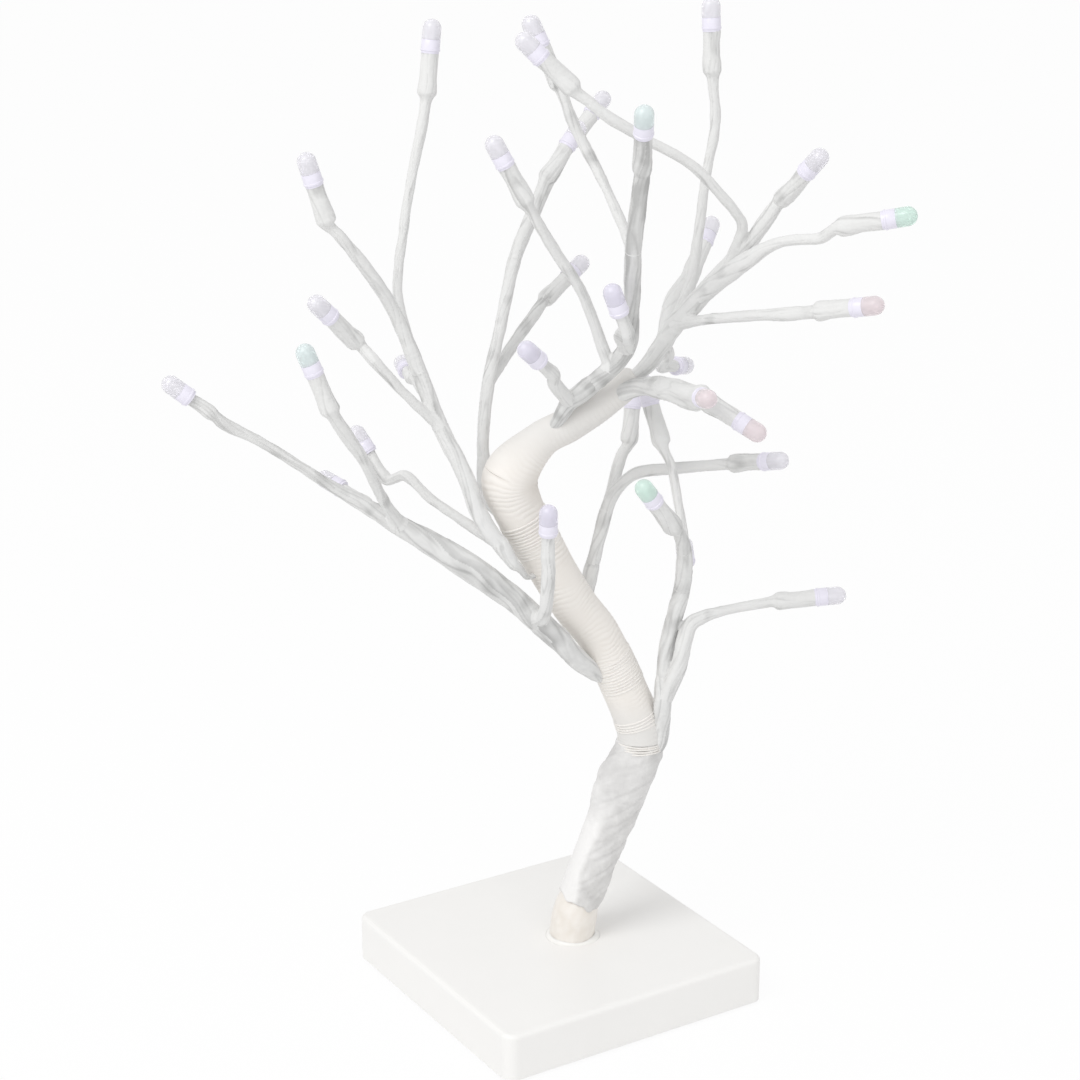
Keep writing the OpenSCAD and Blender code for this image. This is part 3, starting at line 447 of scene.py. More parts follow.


# painted highlight, paler on the crowns, and painted shade, beige in the grooves; beige under the crook too
def windingTone(run, turn, p, way, height):
    level = np.exp(-((p[:, 2] - winding["underAt"]) / winding["underOver"]) ** 2)
    under = level * np.clip(way[:, 0] * 1.6 - 0.5, 0, 1)
    return 0.65 + 0.4 * (windingRidge(run, p, way) - 0.5) * windingShow(p) - 0.45 * under


def drawnTogether(line, run):
    end, ahead = line[-1], (line[-1] - line[-2])[:3]
    ahead = ahead / np.linalg.norm(ahead)
    for k in range(1, winding["endRings"] + 1):
        bow = math.pi / (2 * winding["endRings"]) * k
        spot = end[:3] + ahead * winding["endBow"] * math.sin(bow)
        radius = winding["endRadius"] + (end[3] - winding["endRadius"]) * math.cos(bow)
        line = np.vstack([line, [*spot, radius]])
        run = np.append(run, run[-1] + winding["step"])
    return line, run


for node, first, last in (("middle_wrap", trunk["waist"], trunk["crook"]),
                          ("upper_wrap", trunk["crook"], len(trunk["points"]) - 1)):
    line, run = stretch(first, last, winding["step"])
    if node == "upper_wrap":
        line, run = drawnTogether(line, run)
    piece = shell(node + "_winding", line, run, winding["sides"], windingRelief, trunk["tape"],
                  finishes["winding"], "crown", windingTone)
    if node == "upper_wrap":
        piece.data.set_sharp_from_angle(angle=math.radians(winding["crisp"]))
    up = np.array([v.co.z / mm - tree["baseTop"] for v in piece.data.vertices])
    lowEnd = np.clip((winding["greyBelow"] - up) / winding["greyOver"], 0, 1)
    highEnd = np.clip((up - winding["greyAbove"]) / winding["greyOver"], 0, 1)
    keepNumbers(piece, "grey", 0.8 * lowEnd + 0.7 * highEnd)
    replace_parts(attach(piece, "base"), node)

# the core shows only below the torn tape
core = {"inset": 1.0, "step": 1.2, "sides": 72, "wall": 6.0, "innerRings": 40, "dent": 0.22, "grain": 0.1,
        "sink": 0.12}


def coreRelief(run, turn, p, way):
    return core["dent"] * creases(p, 5.0, 3, 8) + core["grain"] * bumps(p, 1.8, 9) - core["sink"]


# painted shade: the core is coloured darker in its dents and paler on its bumps
def coreTone(run, turn, p, way, height):
    return 0.7 + 1.5 * height


corePoints = trunk["foot"] + [(u, v, z, r - core["inset"]) for u, v, z, r in trunk["points"]]
line, run = throughPoints(corePoints, core["step"])
corePiece = shell("trunk_core_paper", line, run, core["sides"], coreRelief, core["wall"], finishes["core"],
                  "fold", coreTone, innerRings=core["innerRings"])
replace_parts(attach(corePiece, "base"), "trunk_core")
print("trunk wrapped")


def paint(piece, material):
    piece.data.materials.clear()
    piece.data.materials.append(material)


def paintSmooth(piece, material):
    paint(piece, material)
    pick(piece)
    bpy.ops.object.shade_smooth()


# a round tube through places in m, with its radii in mm
def tubeAlong(name, places, radii, roundness):
    path = bpy.data.curves.new(name, "CURVE")
    path.dimensions = "3D"
    path.bevel_depth = mm
    path.bevel_resolution = roundness
    path.use_fill_caps = True
    spline = path.splines.new("POLY")
    spline.points.add(len(places) - 1)
    for point, place, radius in zip(spline.points, places, radii):
        point.co = (*place, 1.0)
        point.radius = radius
    tube = bpy.data.objects.new(name, path)
    bpy.context.scene.collection.objects.link(tube)
    pick(tube)
    bpy.ops.object.convert(target="MESH")
    return bpy.context.object


# bindings: one thread each, close turns round the trunk, counted in steps of half a trunk point
bindings = {
    "ankle_binding": {"from": 9.52, "to": 9.98, "turns": 4, "level": True},          # lies along the waist
    "waist_binding": {"from": 10.55, "to": 11.0, "turns": 4, "level": False},
    "elbow_binding": {"from": 12.1, "to": 13.3, "turns": 11, "level": False},
    "crook_binding": {"from": 18.4, "to": 19.6, "turns": 11, "level": False},
}
thread = {"across": 0.8, "sink": 0.12, "perTurn": 40, "step": 0.5, "slip": 0.35, "waver": 0.08,
          "roundness": 2, "tone": 0.7}


def threadLine(spec):
    fine, _ = throughPoints(trunk["points"], thread["step"], even=True)
    marks = [nearest(fine, p) for p in trunk["points"]]
    count = spec["turns"] * thread["perTurn"]
    heading, normal, across = carried(fine)
    points = []
    for i in range(count + 1):
        half = (spec["from"] + (spec["to"] - spec["from"]) * i / count) / 2
        k = int(half)
        at = marks[k] + (marks[k + 1] - marks[k]) * (half - k)
        low, j = int(at), int(round(at))
        a = 2 * math.pi * i / thread["perTurn"]
        face = marks[trunk["waist"]] if spec["level"] else j          # which ring it lies parallel to
        slip = thread["slip"] * noise.noise(Vector((i * 0.11, spec["from"], 0)))
        waver = thread["waver"] * noise.noise(Vector((i * 0.23, 3.0, spec["to"])))
        reach = fine[j][3] - thread["sink"] + waver
        mid = fine[low][:3] + (fine[min(low + 1, len(fine) - 1)][:3] - fine[low][:3]) * (at - low)
        spoke = math.cos(a) * normal[face] + math.sin(a) * across[face]
        points.append(mid + heading[face] * slip + reach * spoke)
    return toBase(np.array(points))


for node, spec in bindings.items():
    places = threadLine(spec)
    tube = tubeAlong(node + "_thread", places, [thread["across"] / 2] * len(places), thread["roundness"])
    paintSmooth(tube, finishes["thread"])
    keepNumbers(tube, "crown", np.full(len(tube.data.vertices), thread["tone"]))
    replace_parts(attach(tube, "base"), node)
print("bindings wound")

# branches: the main stem from its root, then each twig with the number of the main point that it leaves;
# a stem's last two points are its lamp's foot and aim
# each branch's shade is painted shade: how much darker the colour of its main stem is made
lowLeft = {
    "name": "low_left",
    "main": [(0, -10, 132, 4.4), (-7, -11, 139, 4.6), (-16, -12, 148, 4.8), (-34, -12, 162, 5.4),
             (-60, -10, 178, 4), (-86, -10, 194, 2.3), (-110, -14, 211.5, 2), (-125, -18, 221, 2.4),
             (-135.5, -20.5, 230.5, 2.6), (-145, -22.5, 238.5, 0)],
    "twigs": [(4, [(-66, -22, 193, 2.2), (-71, -34, 210, 2.2), (-77, -40, 222, 2.6), (-87, -46, 246, 2.6),
                   (-91.5, -47.5, 258, 0)]),
              (4, [(-72, 8, 179, 2.2), (-84, 20, 183, 2.4), (-94, 26, 187, 0)]),
              (1, [(-5, -20, 148, 2.6), (-4, -24, 164, 2.8), (-4, -27, 180, 2.6), (-4, -29, 190, 0)])],
    "tints": ["lilac", "aqua", "lilac", "violet"], "shade": 0.25,
    "ridge": [(14, -2, 115, 3.2), (9, -6, 121, 4.0), (4, -9, 127, 4.3)],
}
midLeft = {
    "name": "mid_left",
    "main": [(-17, -14, 164, 2.0), (-21.5, -14, 171, 3.0), (-29, -14, 182, 3.4), (-36, -12, 200, 3.2),
             (-44.5, -10, 217, 3.2), (-52, -10, 238, 3), (-60, -12, 260, 2.6), (-67.5, -18, 275, 2.6),
             (-79, -24, 292, 2.2), (-87, -27, 310.5, 2.4), (-90.5, -29, 323, 0)],
    "twigs": [(5, [(-60, 2, 263, 2), (-58, 10, 287, 1.9), (-54, 14, 310, 1.9), (-50.5, 16, 326, 2.2),
                   (-47.5, 19, 351, 2.4), (-46.5, 20, 362, 0)]),
              (4, [(-56.5, -16, 230.5, 1.9), (-68, -20, 245, 2.4), (-82.5, -22, 261, 2.6),
                   (-89, -27, 269, 0)]),
              (4, [(-52, 20, 222, 1.9), (-57, 45, 221, 2.2), (-60, 56, 221, 2.4), (-64, 70, 223, 0)]),
              (1, [(-33, -4, 175.5, 2), (-49, 12, 181.5, 1.9), (-60, 22, 188, 2.2), (-74, 29, 195, 2.6),
                   (-80, 32, 204, 0)])],
    "tints": ["lilac", "lilac", "lilac", "lilac", "lilac"], "shade": 0.05,
    "ridge": [(-12, -9, 157, 1.0), (-13.5, -11, 159.5, 1.3), (-15, -12.5, 162, 1.7)],
}
upperLeft = {
    "name": "upper_left",
    "main": [(-28, 9, 188, 3), (-29, 12, 205, 2.4), (-27, 18, 226, 2.6), (-22, 28, 248, 2.4),
             (-17, 38, 270, 2.6), (-10.5, 48, 286, 2.4), (3, 64, 309, 2.6), (10, 70, 319, 0)],
    "twigs": [(2, [(-19, 36, 235, 2.4), (-7, 56, 248, 2.4), (3.5, 70, 256, 2.6), (12, 77, 263, 0)]),
              (4, [(-3.5, 62, 296, 2.2), (13, 88, 318, 2.6), (20, 95, 326, 0)])],
    "tints": ["lilac", "lilac", "lilac"], "shade": 0.05,
    "ridge": [(-13, 0, 168, 2.6), (-20, 4, 176, 2.8), (-26, 7, 182, 3.0)],
}
crownTop = {
    "name": "crown_top",
    "main": [(4, -8, 226, 3.2), (14, -8, 234, 3.6), (19, -9, 239, 3.6), (25, -13, 248, 3.4),
             (26, -22, 264, 3.2), (26, -32, 288, 3.2), (27, -38, 302, 3.2), (28.5, -46.5, 331, 2.8),
             (28.5, -52, 341.5, 0)],
    "twigs": [(5, [(21, -24, 299, 1.9), (14, -16, 313, 1.9), (5.5, -8, 328, 2.2), (-6.5, -1, 355.5, 2.4),
                   (-11.5, -1, 366.5, 0)]),
              (3, [(22.5, -26, 256, 3), (21.5, -36, 266, 2.8), (17.5, -39.5, 277.5, 0)]),
              (2, [(8, -12, 269, 2), (-2, -16, 285, 2.2), (-19, -23.5, 316.5, 2.4), (-25, -25, 328, 0)]),
              (0, [(-2, -20, 237, 2.6), (-7, -27, 246, 2.6), (-13, -33, 253, 0)])],
    "tints": ["aqua", "lilac", "violet", "lilac", "violet"], "shade": 0.35,
    "ridge": [(-2, -6, 216, 2.0), (0, -7, 219, 2.6), (2, -8, 222.5, 3.1)],
}
crownRight = {
    "name": "crown_right",
    "main": [(35, 1, 240, 3.1), (39, -1, 247, 3.3), (43, -3, 254, 3.7), (52, -8, 266, 3.6),
             (62, -12, 279, 3.2), (68, -14, 286, 3), (87.5, -18, 313, 2.8), (93.5, -23.5, 321.5, 0)],
    "twigs": [(4, [(66, -16, 294, 2), (57.5, -20, 306, 1.9), (46, -22, 317.5, 1.9), (32, -24, 325.5, 1.9),
                   (16, -25, 335, 2.2), (-6, -27, 354.5, 2.4), (-15.5, -28.5, 364, 0)]),
              (3, [(65.5, -22, 281, 3.4), (78, -32, 291, 2), (92, -38, 294, 2.2), (112, -45.5, 301.5, 2.4),
                   (123.5, -48, 304, 0)]),
              (2, [(52, -12, 258, 2.1), (69, -20, 261.5, 2.1), (86, -27, 264, 2.6), (104.5, -33, 267.5, 2.6),
                   (114.5, -39, 270, 0)]),
              (2, [(49, 8, 267, 2.4), (52, 14, 283, 2), (54.5, 18, 304, 1.9), (58, 21, 326, 2.1),
                   (56, 23, 358.5, 2.6), (55.5, 23.5, 371, 0)]),
              (1, [(44, 20, 258, 3.8), (56, 42, 275.5, 2.6), (60.5, 50, 284.5, 0)]),
              (1, [(42, 16, 237, 2.1), (45, 30, 230, 2.4), (51.5, 40.5, 227.5, 0)])],
    "tints": ["lilac", "lilac", "green", "pink", "lilac", "lilac", "lilac"], "shade": 0.1,
    "ridge": [(18, 1, 225, 2.6), (25, 2, 230, 2.8), (31, 2, 235, 3.0)],
}
crownFront = {
    "name": "crown_front",
    "main": [(33, -8, 232, 3.4), (40, -20, 234, 4.5), (49, -33, 234, 4.8), (63, -47, 230, 2.8),
             (72.5, -52, 225, 0)],
    "twigs": [(1, [(47, -38, 237, 3), (50, -50, 239, 2.8), (52, -60, 241, 0)])],
    "tints": ["pink", "pink"], "shade": 0.15,
    "ridge": [(20, 1, 226, 3.6), (26, -2, 229, 3.8), (30, -5, 231, 3.6)],
}
rear = {
    "name": "rear",
    "main": [(11, 14, 143, 2.8), (16, 19, 163, 2.8), (19, 21, 174, 2.8), (22, 22, 181, 2.6),
             (30, 24, 188, 2.4), (47, 22, 191, 2.4), (78.5, 14, 196, 2.6), (87, 6, 199, 0)],
    "twigs": [(2, [(25, 30, 194, 2.4), (29, 34, 212, 2.4), (30, 36, 222, 0)])],
    "tints": ["lilac", "lilac"], "shade": 0.1,
    "ridge": [(14, 5, 122, 2.6), (12, 10, 130, 2.8), (11, 12, 137, 2.8)],
}
lowRight = {
    "name": "low_right",
    "main": [(41, 0, 101, 3.4), (43, 4, 126, 3.3), (48, 3, 148, 3.5), (48, -6, 167, 3), (44, -18, 180, 2.2),
             (35.5, -31.5, 193.5, 2.4), (29, -36.5, 203.5, 0)],
    "twigs": [(0, [(47, -2, 118, 3.3), (51.5, 1, 134, 3.1), (63, 4, 138, 2.2), (100, 8, 142.5, 2.4),
                   (112, 8.5, 143.5, 0)]),
              (2, [(50.5, 14, 150, 2.2), (50.5, 20, 152.5, 2.4), (50, 29, 158, 0)]),
              (3, [(47, 3, 176, 1.9), (43, 9, 197, 1.9), (35.5, 15, 218, 2.2), (32.5, 19, 228, 0)])],
    "tints": ["green", "lilac", "lilac", "lilac"], "shade": 0.2,
    "ridge": [(35, 4, 76, 3.0), (40, 2, 84, 3.2), (41, 1, 93, 3.2)],
}
branches = [lowLeft, midLeft, upperLeft, crownTop, crownRight, crownFront, rear, lowRight]
sleeve = {
    "length": 16, "share": 0.75,          # share of the last span, where that is short
    "radius": 3.75, "lumps": [(-0.03, 0.9), (0.3, 0.88), (0.55, 0.92), (0.78, 1.0), (0.93, 0.95)],
    "short": 13.5, "slim": 2.8,           # a sleeve no longer than this is slimmer
    "uneven": 0.12, "lean": 0.7, "neck": 0.7, "taper": 4.5, "least": 1.9,
}
tape = {
    "step": 0.8, "stray": 0.7, "roundness": 4, "voxel": 0.42, "soften": 3,
    "pitch": 220, "crease": 0.13, "pleat": 0.05, "seam": 0.25, "lump": 0.25, "crinkle": 0.08,
    "twigShade": 0.2, "usual": 2.4,       # usual: the radius that the creases are meant for
}
rootForm = {"every": 5, "reach": 14, "before": 0.9, "deep": 2.6, "thin": 1.2, "over": 0.35, "fade": 0.5,
            "fadeRings": 4}


def stemPoints(branch, i):
    if i == 0:
        return branch["main"]
    fork, twig = branch["twigs"][i - 1]
    u, v, z, r = branch["main"][fork]
    return [(u, v, z, min(r - 0.3, twig[0][3] + 0.4))] + twig


def allStems(branch):
    return [stemPoints(branch, i) for i in range(len(branch["twigs"]) + 1)]


# a stem's curve, held near the straight spans that its wire runs along
def heldNear(line, path):
    best = np.full(len(line), np.inf)
    foot = line[:, :3].copy()
    for a, b in zip(path, path[1:]):
        a, b = np.array(a[:3], float), np.array(b[:3], float)
        t = np.clip((line[:, :3] - a) @ (b - a) / max(1e-9, (b - a) @ (b - a)), 0, 1)
        spot = a + t[:, None] * (b - a)
        off = np.linalg.norm(line[:, :3] - spot, axis=1)
        foot[off < best] = spot[off < best]
        best = np.minimum(best, off)
    pull = np.minimum(1, tape["stray"] / np.maximum(best, 1e-9))[:, None]
    line[:, :3] = foot + (line[:, :3] - foot) * pull
    return line


# a stem's line with its sleeve, which starts at the neck and ends just inside the lamp's collar
def stemLine(points):
    before, foot, aim = (np.array(p[:3], float) for p in points[-3:])
    axis = (aim - foot) / np.linalg.norm(aim - foot)
    length = min(sleeve["length"], sleeve["share"] * np.linalg.norm(foot - before))
    path = list(points[:-2])
    neck = foot - axis * length
    thin = max(sleeve["least"], path[-1][3] * 0.95)
    away = before - neck
    path.append((*(neck + away * min(0.5, sleeve["taper"] / np.linalg.norm(away))), thin))
    fullness = sleeve["radius"] if length > sleeve["short"] else sleeve["slim"]
    path.append((*neck, max(sleeve["neck"] * fullness, thin)))
    swell = noise.noise(Vector(foot) / 7)                # no two sleeves are alike
    side = np.array(noise.noise_vector(Vector(foot) / 9)) * sleeve["lean"]
    for down, wide in reversed(sleeve["lumps"]):
        part = math.sin(math.pi * min(1, down))
        radius = fullness * wide * (1 + sleeve["uneven"] * swell * part)
        path.append((*(foot - axis * length * down + side * part), radius))
    line, run = throughPoints(path, tape["step"])
    return heldNear(line, path), run


# twisted tape: long creases and one lap edge that run almost along the stem; its colour mark holds painted
# shade in the creases and by the lap edge, and only the first line, the main stem, takes all of the branch's
# painted shade
def windTape(piece, lines, seed, shade):
    rows = []
    for number, (line, run) in enumerate(lines):
        spots = toBase(line)
        heading, normal, across = carried(np.column_stack([spots, line[:, 3]]))
        dim = np.full(len(line), shade if number == 0 else tape["twigShade"] * shade)
        rows.append(np.column_stack([spots, heading, normal, across, run, line[:, 3], dim]))
    rows = np.concatenate(rows)
    lookUp = KDTree(len(rows))
    for n, row in enumerate(rows):
        lookUp.insert(row[:3], n)
    lookUp.balance()
    mesh = piece.data
    count = len(mesh.vertices)
    co = np.empty(count * 3)
    mesh.vertices.foreach_get("co", co)
    co = co.reshape(-1, 3)
    near = rows[[lookUp.find(p)[1] for p in co]]
    spot, heading, normal, across = (near[:, k:k + 3] for k in (0, 3, 6, 9))
    run, thick, dim = near[:, 12:].T
    off = co - spot
    turn = np.arctan2((off * across).sum(1), (off * normal).sum(1)) / (2 * math.pi)
    run = run + (off * heading).sum(1) / mm
    p = co / mm
    which = turn - run / tape["pitch"] + 0.12 * bumps(p, 15.0, seed)
    valley = np.clip(1 - screwFolds(which, run, seed, 32.0, 1.2) * 6, 0, 1)
    pleat = np.clip(1 - screwFolds(which, run, seed + 1, 15.0, 2.4) * 5, 0, 1)
    lap = (which + 0.37 * seed) % 1.0
    edge = np.clip(1 - lap / 0.1, 0, 1)
    height = tape["seam"] * (np.clip(lap / 0.05, 0, 1) - lap - 0.45)
    height = height - tape["crease"] * thick / tape["usual"] * valley - tape["pleat"] * pleat
    height = height + tape["lump"] * bumps(p, 6.0, seed + 1) + tape["crinkle"] * creases(p, 1.4, 2, seed + 2)
    normals = np.empty(count * 3)
    mesh.vertices.foreach_get("normal", normals)
    co = co + normals.reshape(-1, 3) * (height * mm)[:, None]
    mesh.vertices.foreach_set("co", co.ravel())
    mesh.update()
    smudge = np.clip(1.6 * bumps(p, 7.0, seed + 4) - 0.25, 0, 1)          # handled, darker places
    # painted shade: the fold mark darkens in the creases and pleats, along the lap edge and by the branch's
    # dim share
    keepNumbers(piece, "fold", 1 - dim - 0.3 * valley - 0.1 * pleat - 0.35 * edge - 0.4 * smudge)


def useModifier(piece, kind, **settings):
    pick(piece)
    change = piece.modifiers.new(kind.lower(), kind)
    for name, value in settings.items():
        setattr(change, name, value)
    bpy.ops.object.modifier_apply(modifier=change.name)


def gather(parts, name):
    pick(*parts)
    bpy.ops.object.join()
    bpy.context.object.name = name
    return bpy.context.object


def taped(piece, lines, seed, shade):
    useModifier(piece, "REMESH", mode="VOXEL", voxel_size=tape["voxel"] * mm)
    useModifier(piece, "SMOOTH", factor=0.5, iterations=tape["soften"])
    windTape(piece, lines, seed, shade)
    paintSmooth(piece, finishes["stems"])


trunkLine, _ = throughPoints(trunk["points"], 1.0, even=True)


# a point under the trunk's face, so that a ridge comes up slowly out of the winding
def underFace(point, depth, radius):
    near = trunkLine[nearest(trunkLine, point)]
    out = point - near[:3]
    return (*(near[:3] + out / np.linalg.norm(out) * (near[3] - depth)), radius)


# a root's line: from under the trunk's winding, along the ridge and on to the branch
def rootPath(ridge, main):
    start = [tuple(p) for p in main[::rootForm["every"]]
             if np.linalg.norm(p[:3] - main[0][:3]) < rootForm["reach"]]
    first, second = (np.array(p[:3], float) for p in ridge[:2])
    before = (1 + rootForm["before"]) * first - rootForm["before"] * second
    grown = [underFace(before, rootForm["deep"], rootForm["thin"])] + ridge
    line, run = throughPoints(grown + [(u, v, z, r + rootForm["over"]) for u, v, z, r in start], tape["step"])
    line[-rootForm["fadeRings"]:, 3] -= np.linspace(0, rootForm["fade"], rootForm["fadeRings"])
    return line, run, start[-1]


for number, branch in enumerate(branches):
    name, body = branch["name"], branch["name"] + "_branch"
    lines = [stemLine(s) for s in allStems(branch)]
    tubes = [tubeAlong(name + "_stem", toBase(line), line[:, 3], tape["roundness"]) for line, _ in lines]
    wrap = gather(tubes, name + "_wrap_tape")
    taped(wrap, lines, 10 + 3 * number, branch["shade"])
    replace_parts(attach(wrap, body), name + "_wrap")

    line, run, end = rootPath(branch["ridge"], lines[0][0])
    root = tubeAlong(name + "_root_tape", toBase(line), line[:, 3], tape["roundness"])
    taped(root, [(line, run)], 40 + 3 * number, branch["shade"])
    hinge = seat(branch["main"][0])
    way = seat(end) - hinge
    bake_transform(root)
    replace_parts(root, "branch_roots")
print("branches taped,", len(branches))

# lamps: one bullet modelled along Z, then copied to each stem's end
lamp = {
    "radius": 3.5, "length": 12.5, "wall": 0.6, "sides": 32, "crisp": 40,
    "collar": 5.0, "foot": 0.8, "edge": 0.15, "lip": 3.7, "lipHigh": 0.6, "shoulder": 0.97, "plug": 0.6,
    "diode": 2.5, "diodeGap": 0.2, "diodeAt": 0.65, "diodeHigh": 2.2,
}


def selectLevel(piece, choose):
    bpy.ops.object.mode_set(mode="OBJECT")
    mesh = piece.data
    level = choose(v.co.z for v in mesh.vertices)
    flat = [abs(v.co.z - level) < 1e-6 for v in mesh.vertices]
    for group in (mesh.polygons, mesh.edges):
        for item in group:
            item.select = all(flat[v] for v in item.vertices)
    for v, chosen in zip(mesh.vertices, flat):
        v.select = chosen
    bpy.ops.object.mode_set(mode="EDIT")


def riseTo(piece, steps):
    bpy.ops.object.mode_set(mode="EDIT")
    bpy.ops.mesh.select_mode(type="FACE")
    for rise, factor in steps:
        selectLevel(piece, max)
        bpy.ops.mesh.extrude_region_move(TRANSFORM_OT_translate={"value": (0, 0, rise * mm)})
        bpy.ops.transform.resize(value=(factor, factor, 1))
    bpy.ops.object.mode_set(mode="OBJECT")


def domeSteps(radius, count=8):
    steps, low, wide = [], 0.0, 1.0
    for k in range(1, count):
        a = math.pi / 2 * k / count
        steps.append((radius * math.sin(a) - low, math.cos(a) / wide))
        low, wide = radius * math.sin(a), math.cos(a)
    steps.append((radius - low, 0.25))
    return steps


def turned(name, radius, bottom, height, steps):
    deselect()
    bpy.ops.mesh.primitive_cylinder_add(vertices=lamp["sides"], radius=radius * mm, depth=height * mm,
                                        location=(0, 0, (bottom + height / 2) * mm))
    piece = bpy.context.object
    piece.name = name
    bpy.ops.object.transform_apply(location=True, rotation=True, scale=True)
    riseTo(piece, steps)
    pick(piece)
    bpy.ops.object.shade_smooth_by_angle(angle=math.radians(lamp["crisp"]))
    return piece


straight = lamp["length"] - lamp["radius"] - lamp["collar"]
capModel = turned("cap_model", lamp["radius"], lamp["collar"], straight, domeSteps(lamp["radius"]))
selectLevel(capModel, min)       # open its foot, then give it its wall
bpy.ops.mesh.delete(type="ONLY_FACE")
bpy.ops.object.mode_set(mode="OBJECT")
useModifier(capModel, "SOLIDIFY", thickness=lamp["wall"] * mm, offset=-1.0)

collarFoot, shoulder = lamp["radius"] - lamp["edge"], lamp["radius"] * lamp["shoulder"]
upright = lamp["collar"] - lamp["foot"] - lamp["lipHigh"] - 3 * lamp["edge"]
collarModel = turned("collar_model", collarFoot, 0.0, lamp["foot"], [          # each step: rise, then factor
    (lamp["edge"], lamp["lip"] / collarFoot), (lamp["lipHigh"], 1.0),
    (lamp["edge"], lamp["radius"] / lamp["lip"]), (upright, 1.0), (lamp["edge"], lamp["shoulder"]),
    (0.0, (lamp["diode"] + lamp["diodeGap"]) / shoulder), (lamp["plug"], 1.0)])
diodeModel = turned("diode_model", lamp["diode"], lamp["collar"] + lamp["diodeAt"], lamp["diodeHigh"],
                    domeSteps(lamp["diode"], 6))


def copyTo(model, points, material):
    copy = model.copy()
    copy.data = model.data.copy()
    bpy.context.scene.collection.objects.link(copy)
    foot, aim = seat(points[-2]), seat(points[-1])
    axis = (aim - foot).normalized()
    copy.data.transform(Matrix.Translation(foot) @ axis.to_track_quat("Z", "Y").to_matrix().to_4x4())
    paint(copy, material)
    return copy


for branch in branches:
    name, body = branch["name"], branch["name"] + "_branch"
    ends = list(zip(allStems(branch), branch["tints"]))
    caps = gather([copyTo(capModel, s, tints[t]) for s, t in ends], name + "_caps_milky")
    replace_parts(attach(caps, body), name + "_caps")
    cores = [copyTo(model, s, material) for s, t in ends
             for model, material in ((collarModel, finishes["collar"]), (diodeModel, diodes[t]))]
    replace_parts(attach(gather(cores, name + "_collars"), body), name + "_leds")
for model in (capModel, collarModel, diodeModel):
    bpy.data.objects.remove(model)
print("lamps set")

# glue: an uneven fillet round the foot
glue = {"reach": 2.2, "rise": 1.5, "sides": 96, "rings": 10, "usual": 0.75, "uneven": 0.35}
footU, footV, _, footRadius = trunk["foot"][1]
verts, faces = [], []
for k in range(glue["sides"]):
    a = 2 * math.pi * k / glue["sides"]
    c, s = math.cos(a), math.sin(a)
    swell = glue["usual"] + glue["uneven"] * noise.noise(Vector((c * 1.3, s * 1.3, 4.0)))
    for j in range(glue["rings"] + 1):
        t = math.pi / 2 * j / glue["rings"]
        out = footRadius + glue["reach"] * swell * (1 - math.sin(t))
        verts.append(seat((footU + out * c, footV + out * s, glue["rise"] * swell * (1 - math.cos(t)))))
    verts.append(seat((footU + footRadius * c, footV + footRadius * s, 0)))
ring = glue["rings"] + 2
for k in range(glue["sides"]):
    n = (k + 1) % glue["sides"]
    for j in range(ring):
        faces.append((k * ring + j, n * ring + j, n * ring + (j + 1) % ring, k * ring + (j + 1) % ring))
glueRing = newPiece("glue_fillet_bead", verts, faces, finishes["glue"])
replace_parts(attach(glueRing, "base"), "glue_fillet")

# CAD nodes that keep their shape get their finish
coats = {
    "base": ["base_housing"], "cover": ["base_cover", "battery_door"], "foam": ["anti_slip_pad"],
    "steel": ["cover_screws", "board_screws", "set_screws"], "jacket": ["battery_cells"],
    "nickel": ["battery_springs", "contact_plates"], "board": ["circuit_board"],
    "black": ["board_components", "switch_body", "switch_knob"], "lead": ["supply_leads", "trunk_leads"],
    "copper": ["trunk_wires"] + [b["name"] + "_wires" for b in branches],
}
for finish, nodes in coats.items():
    for node in nodes:
        paint(cad[node], finishes[finish])
print("finishes set")

# stage: white floor that keeps a soft shadow, soft lights, camera
stage = {"floor": 40.0, "paper": "#f6f6f6", "white": 0.94, "air": 0.72, "background": 1.0}


# 1 where the camera sees something directly, mirrored or through a cap
def seenDirect(nodes):
    path = addNode(nodes, "ShaderNodeLightPath")
    seen = path.outputs["Is Camera Ray"]
    for kind in ("Is Glossy Ray", "Is Transmission Ray"):
        larger = addNode(nodes, "ShaderNodeMath", None, {0: seen, 1: path.outputs[kind]}, operation="MAXIMUM")
        seen = larger.outputs["Value"]
    return seen


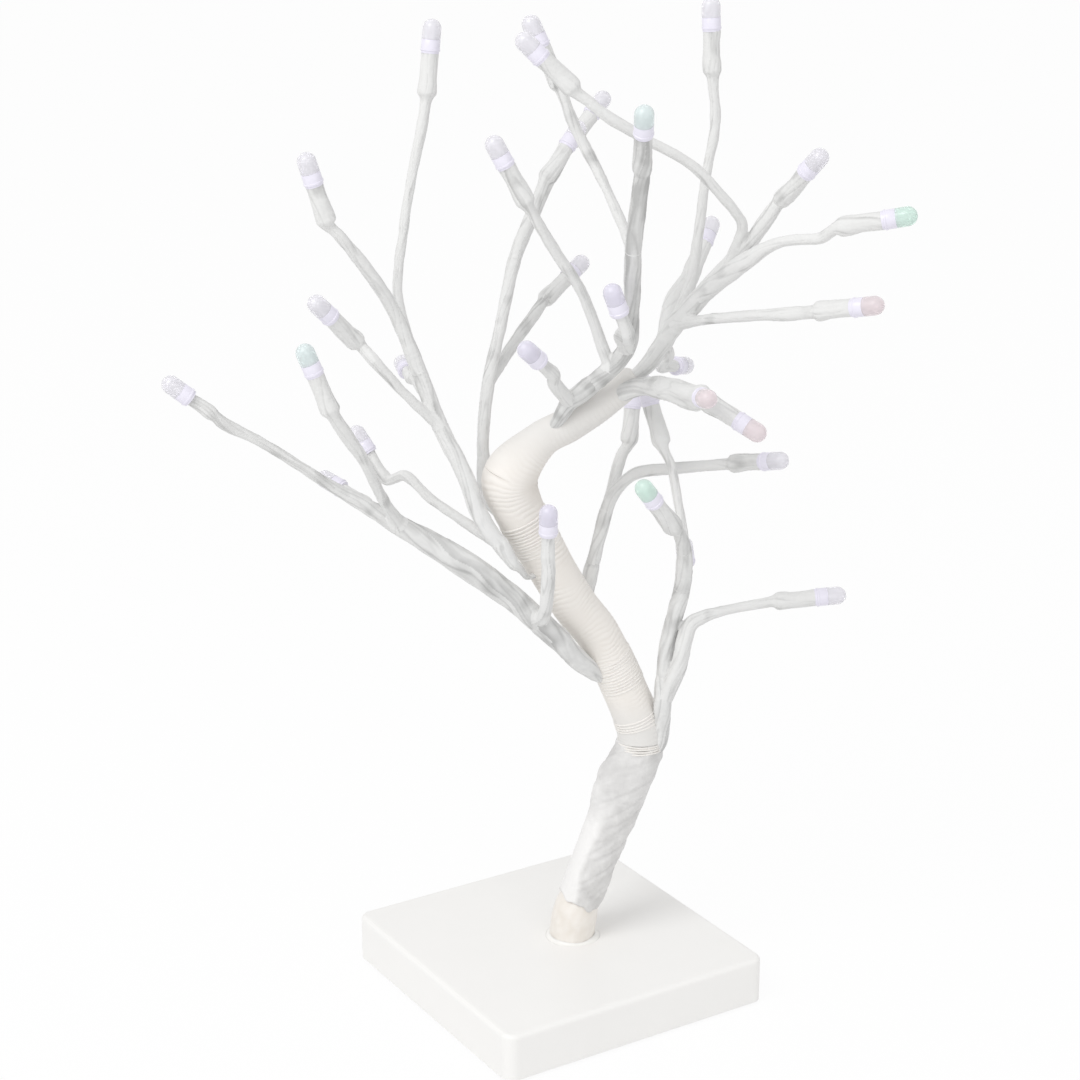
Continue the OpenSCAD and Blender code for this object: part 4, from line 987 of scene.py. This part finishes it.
deselect()
bpy.ops.mesh.primitive_plane_add(size=stage["floor"], location=(0, 0, 0))
floor = bpy.context.object
floor.name = "studio_floor"
paper, nodes, bsdf = newMaterial("seamlessPaperWhite")
setInputs(bsdf, {"Base Color": linear(stage["paper"]), "Roughness": 0.9})
share = addNode(nodes, "ShaderNodeMath", {1: stage["white"]}, {0: seenDirect(nodes)}, operation="MULTIPLY")
white = addNode(nodes, "ShaderNodeEmission", {"Color": (1, 1, 1, 1), "Strength": 1.0})
mixed = addNode(nodes, "ShaderNodeMixShader", None, {0: share.outputs["Value"], 1: bsdf.outputs["BSDF"],
                                                     2: white.outputs["Emission"]})
join(nodes, mixed.outputs["Shader"], nodes["Material Output"], "Surface")
floor.data.materials.append(paper)

scene = bpy.context.scene
world = bpy.data.worlds.new("studioAir")
scene.world = world
world.use_nodes = True
nodes = world.node_tree.nodes
level = addNode(nodes, "ShaderNodeMapRange", {"To Min": stage["air"], "To Max": stage["background"]},
                {"Value": seenDirect(nodes)})
setInputs(nodes["Background"], {"Color": (1, 1, 1, 1)})
join(nodes, level.outputs["Result"], nodes["Background"], "Strength")

lights = {
    "key": {"at": (-1.0, -0.3, 1.35), "size": 0.8, "watts": 9.5},
    "fill": {"at": (-0.2, -1.4, 0.6), "size": 1.0, "watts": 2.0},
}
aimAt = Vector((0, 0, 0.18))
for name, spec in lights.items():
    deselect()
    bpy.ops.object.light_add(type="AREA", location=spec["at"])
    light = bpy.context.object
    light.name = name + "_light"
    light.data.energy = spec["watts"]
    light.data.size = spec["size"]
    light.rotation_euler = (aimAt - Vector(spec["at"])).to_track_quat("-Z", "Y").to_euler()

camera = {"azimuth": -32, "elevation": 18.53, "distance": 981.1, "right": -7.1, "up": 179.1, "lens": 80,
          "sensor": 36, "near": 0.01}
a, e = math.radians(camera["azimuth"]), math.radians(camera["elevation"])
back = Vector((math.sin(a) * math.cos(e), -math.cos(a) * math.cos(e), math.sin(e)))
right = Vector((math.cos(a), math.sin(a), 0))
up = back.cross(right)
eye = (right * camera["right"] + up * camera["up"] + back * camera["distance"]) * mm
deselect()
bpy.ops.object.camera_add(location=eye)
shot = bpy.context.object
shot.name = "photo_camera"
shot.rotation_euler = Matrix((right, up, back)).transposed().to_euler()
shot.data.lens = camera["lens"]
shot.data.sensor_width = camera["sensor"]
shot.data.sensor_fit = "HORIZONTAL"
shot.data.clip_start = camera["near"]
scene.camera = shot
scene.view_settings.view_transform = "Standard"
print("stage set")
